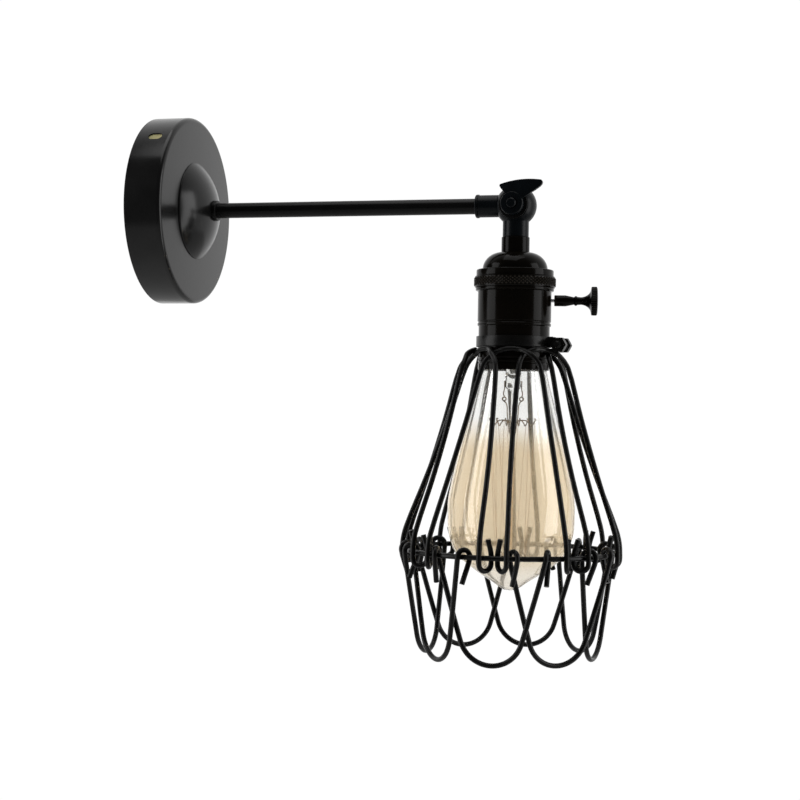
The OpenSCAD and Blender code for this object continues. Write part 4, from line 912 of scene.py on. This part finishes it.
def archLeg(c, side):                          # from the tail, round the ring and up to the shoulder
    foot = radians(c["archFoot"])
    loop = (2 * c["wire"] + c["fit"]) / cos(foot)
    u, v, z = c["ring"] * cos(foot), side * c["ring"] * sin(foot), c["ringZ"]
    out = u + loop
    route = [(out - c["wire"] * 3.9, v, z + c["tail"]), (u - loop, v, z + 1.4)]
    route += [(p, v, q) for p, q in bend(u, z - c["loopDrop"], loop, 180, 360, 8)]
    corner, shoulder = Vector((out, v, z + 6)), Vector(archTop(c, side, c["archSpan"]))
    start = corner + 6 * (shoulder - corner).normalized()
    low = Vector((out, v, z))
    route += [tuple(low.lerp(corner, t).lerp(corner.lerp(start, t), t)) for t in (0, 1 / 3, 2 / 3, 1)]
    for t in (1 / 3, 2 / 3):
        bowed = start.lerp(shoulder, t)
        bowed.x -= c["archBow"] * 4 * t * (1 - t)
        route.append(tuple(bowed))
    return route


def cleaned(route):                            # drops a point that repeats the one before it
    kept = [route[0]]
    for p in route[1:]:
        if (Vector(p) - Vector(kept[-1])).length > 0.05:
            kept.append(p)
    return kept


def makeArches(c):
    turns = [c["archSpan"] * k / 6 for k in range(7)]
    top = [archTop(c, 1, t) for t in turns[::-1]] + [archTop(c, -1, t) for t in turns[1:]]
    route = cleaned(archLeg(c, 1) + top + archLeg(c, -1)[::-1])
    for i in range(c["count"]):
        bentWire("upper_wire_" + str(i + 1), [route], c["wire"], facing(c["archTurn"] + i * 360 / c["count"]),
                 ["cage_arch_" + str(i + 1)], sides=4, steps=4)


makeArches(cage)


def petalPoint(c, v, h, w):                    # h below the ring, leaning in, and w out by the weave
    u = c["ring"] * cos(radians(c["hookAngle"]))
    return (u - c["petalLean"] * h / c["petalDrop"] + w, v, c["ringZ"] - h)


def petalSide(c, side):                        # the tail, and the hook round the ring
    angle = radians(c["hookAngle"])
    hook = (2 * c["wire"] + c["hinge"]) / cos(angle)
    u, v = c["ring"] * cos(angle), side * c["ring"] * sin(angle)
    return [(u + side * 0.8, v, c["ringZ"] - c["petalTail"])] + [
        (u + side * p, v, c["ringZ"] + q) for p, q in bend(0, 0, hook, 192, -6, 9)]


def makePetals(c):
    endHigh = c["petalDrop"] - c["petalEnd"]
    v = c["ring"] * sin(radians(c["hookAngle"]))
    meet = degrees(acos(c["petalEnd"] / hypot(v, endHigh)) - atan2(endHigh, v))     # leg meets round end
    rounded = [petalPoint(c, p, q, c["petalWeave"] * p / c["petalEnd"])
               for p, q in bend(0, endHigh, c["petalEnd"], meet, 180 - meet, 14)]
    route = cleaned(petalSide(c, 1) + rounded + petalSide(c, -1)[::-1])
    for i in range(c["count"]):
        bentWire("petal_wire_" + str(i + 1), [route], c["wire"], facing(i * 360 / c["count"]),
                 ["cage_petal_" + str(i + 1)], sides=4, steps=4)


makePetals(cage)


def makeRing(c):                               # rolled from the same wire
    bm = bmesh.new()
    bmesh.ops.create_circle(bm, segments=20, radius=c["wire"])
    bm.transform(Matrix.Translation((c["ring"], 0, 0)) @ Matrix.Rotation(pi / 2, 4, "X"))
    bmesh.ops.spin(bm, geom=bm.verts[:] + bm.edges[:], cent=(0, 0, 0), axis=(0, 0, 1), angle=2 * pi,
                   steps=240, use_merge=True)
    finishPiece("hinge_ring", bm, atLamp @ Matrix.Translation((0, 0, c["ringZ"])), "cage_ring", sharp=60)


makeRing(cage)
print("cage done")


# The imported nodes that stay, each in its slot's finish

for name, node in frame["nodes"].items():
    if name not in covered:
        node.data.materials.clear()
        node.data.materials.append(finishes[slotOf[name]])
print("packed nodes kept:", len(frame["nodes"]) - len(covered))


# Studio

studio = {"floorZ": -1.35, "floorSize": 3.2, "sky": 1.1, "front": 0.08, "seen": 1.02, "fadeFrom": -0.5,
          "fadeTo": 0.5}


def makeFloor(s):
    paper = Finish("paper", Specular_IOR_Level=0.2)
    cloud = paper.grain(paper.at(), 220, 3)
    material = paper.wear(Base_Color=paper.mixed(cloud, (0.86, 0.86, 0.85, 1), (0.9, 0.9, 0.9, 1)),
                          Roughness=0.7 + cloud * 0.15,
                          Normal=paper.bumped(paper.grain(paper.at(), 1.2, 2), 0.05, 0.1))
    bm = bmesh.new()
    bmesh.ops.create_grid(bm, x_segments=2, y_segments=2, size=s["floorSize"])
    bmesh.ops.translate(bm, vec=(lamp["x"] / 1000, 0, s["floorZ"]), verts=bm.verts)
    mesh = bpy.data.meshes.new("floor")
    bm.to_mesh(mesh)
    bm.free()
    mesh.materials.append(material)
    floor = bpy.data.objects.new("floor", mesh)
    bpy.context.scene.collection.objects.link(floor)


makeFloor(studio)


def makeSky(s):          # white to the eye; what the gloss sees is softer and darker on the viewer's side
    world = bpy.data.worlds.new("studio")
    bpy.context.scene.world = world
    world.use_nodes = True
    tree = world.node_tree
    tree.nodes.clear()

    def add(kind, **settings):
        node = tree.nodes.new(kind)
        for label, value in settings.items():
            setattr(node, label, value)
        return node

    spot, split = add("ShaderNodeTexCoord"), add("ShaderNodeSeparateXYZ")
    across = add("ShaderNodeMapRange", interpolation_type="SMOOTHSTEP")
    rays = add("ShaderNodeLightPath")
    seen = add("ShaderNodeMath", operation="MAXIMUM")
    mix, shine = add("ShaderNodeMix", data_type="FLOAT"), add("ShaderNodeBackground")
    out = add("ShaderNodeOutputWorld")
    tree.links.new(spot.outputs["Generated"], split.inputs[0])
    tree.links.new(split.outputs["Y"], across.inputs["Value"])
    for label, value in (("From Min", s["fadeFrom"]), ("From Max", s["fadeTo"]), ("To Min", s["front"]),
                         ("To Max", s["sky"])):
        across.inputs[label].default_value = value
    tree.links.new(rays.outputs["Is Camera Ray"], seen.inputs[0])
    tree.links.new(rays.outputs["Is Transmission Ray"], seen.inputs[1])
    tree.links.new(seen.outputs[0], mix.inputs[0])
    tree.links.new(across.outputs[0], mix.inputs[2])
    mix.inputs[3].default_value = s["seen"]
    shine.inputs["Color"].default_value = (1, 1, 1, 1)
    tree.links.new(mix.outputs[0], shine.inputs["Strength"])
    tree.links.new(shine.outputs[0], out.inputs[0])


makeSky(studio)


def softbox(b, aim):
    panel = bpy.data.lights.new(b["name"], "AREA")
    panel.shape, panel.size, panel.size_y = "RECTANGLE", b["wide"], b["high"]
    panel.energy = b["radiance"] * b["wide"] * b["high"] * pi
    thing = bpy.data.objects.new(b["name"], panel)
    bpy.context.scene.collection.objects.link(thing)
    turn = (Vector(aim) - Vector(b["spot"])).to_track_quat("-Z", "Y")
    thing.matrix_world = Matrix.Translation(b["spot"]) @ turn.to_matrix().to_4x4()


lights = [{"name": "left strip", "spot": (-0.76, -0.42, -0.05), "wide": 0.6, "high": 1.3, "radiance": 4},
          {"name": "right strip", "spot": (1.24, -0.02, -0.05), "wide": 0.55, "high": 1.3, "radiance": 4},
          {"name": "overhead", "spot": (0.1, -0.3, 1.5), "wide": 1.2, "high": 1.2, "radiance": 2.5}]
for light in lights:
    softbox(light, (0.19, 0, -0.1))


# The photograph's camera, fitted to the object's outline

view = {"pixels": 1715.6, "distance": 0.8817, "azimuth": 15.572, "elevation": -0.648, "roll": 1.008,
        "aim": (0.13404, 0, -0.09897), "sensor": 36, "side": 800}


def makeCamera(v):
    a, e, roll = radians(v["azimuth"]), radians(v["elevation"]), radians(v["roll"])
    forward = -Vector((sin(a) * cos(e), -cos(a) * cos(e), sin(e)))
    right = forward.cross(Vector((0, 0, 1))).normalized()
    up = right.cross(forward)
    across, above = cos(roll) * right + sin(roll) * up, cos(roll) * up - sin(roll) * right
    camera = bpy.data.cameras.new("photo camera")
    camera.sensor_fit, camera.sensor_width = "HORIZONTAL", v["sensor"]
    camera.lens = v["pixels"] * v["sensor"] / v["side"]
    camera.clip_start, camera.clip_end = 0.05, 20
    thing = bpy.data.objects.new("photo camera", camera)
    bpy.context.scene.collection.objects.link(thing)
    spot = Vector(v["aim"]) - forward * v["distance"]
    turn = Matrix((across, above, -forward)).transposed()
    thing.matrix_world = Matrix.Translation(spot) @ turn.to_4x4()
    bpy.context.scene.camera = thing


makeCamera(view)
bpy.context.scene.view_settings.view_transform = "Standard"


print("ready")
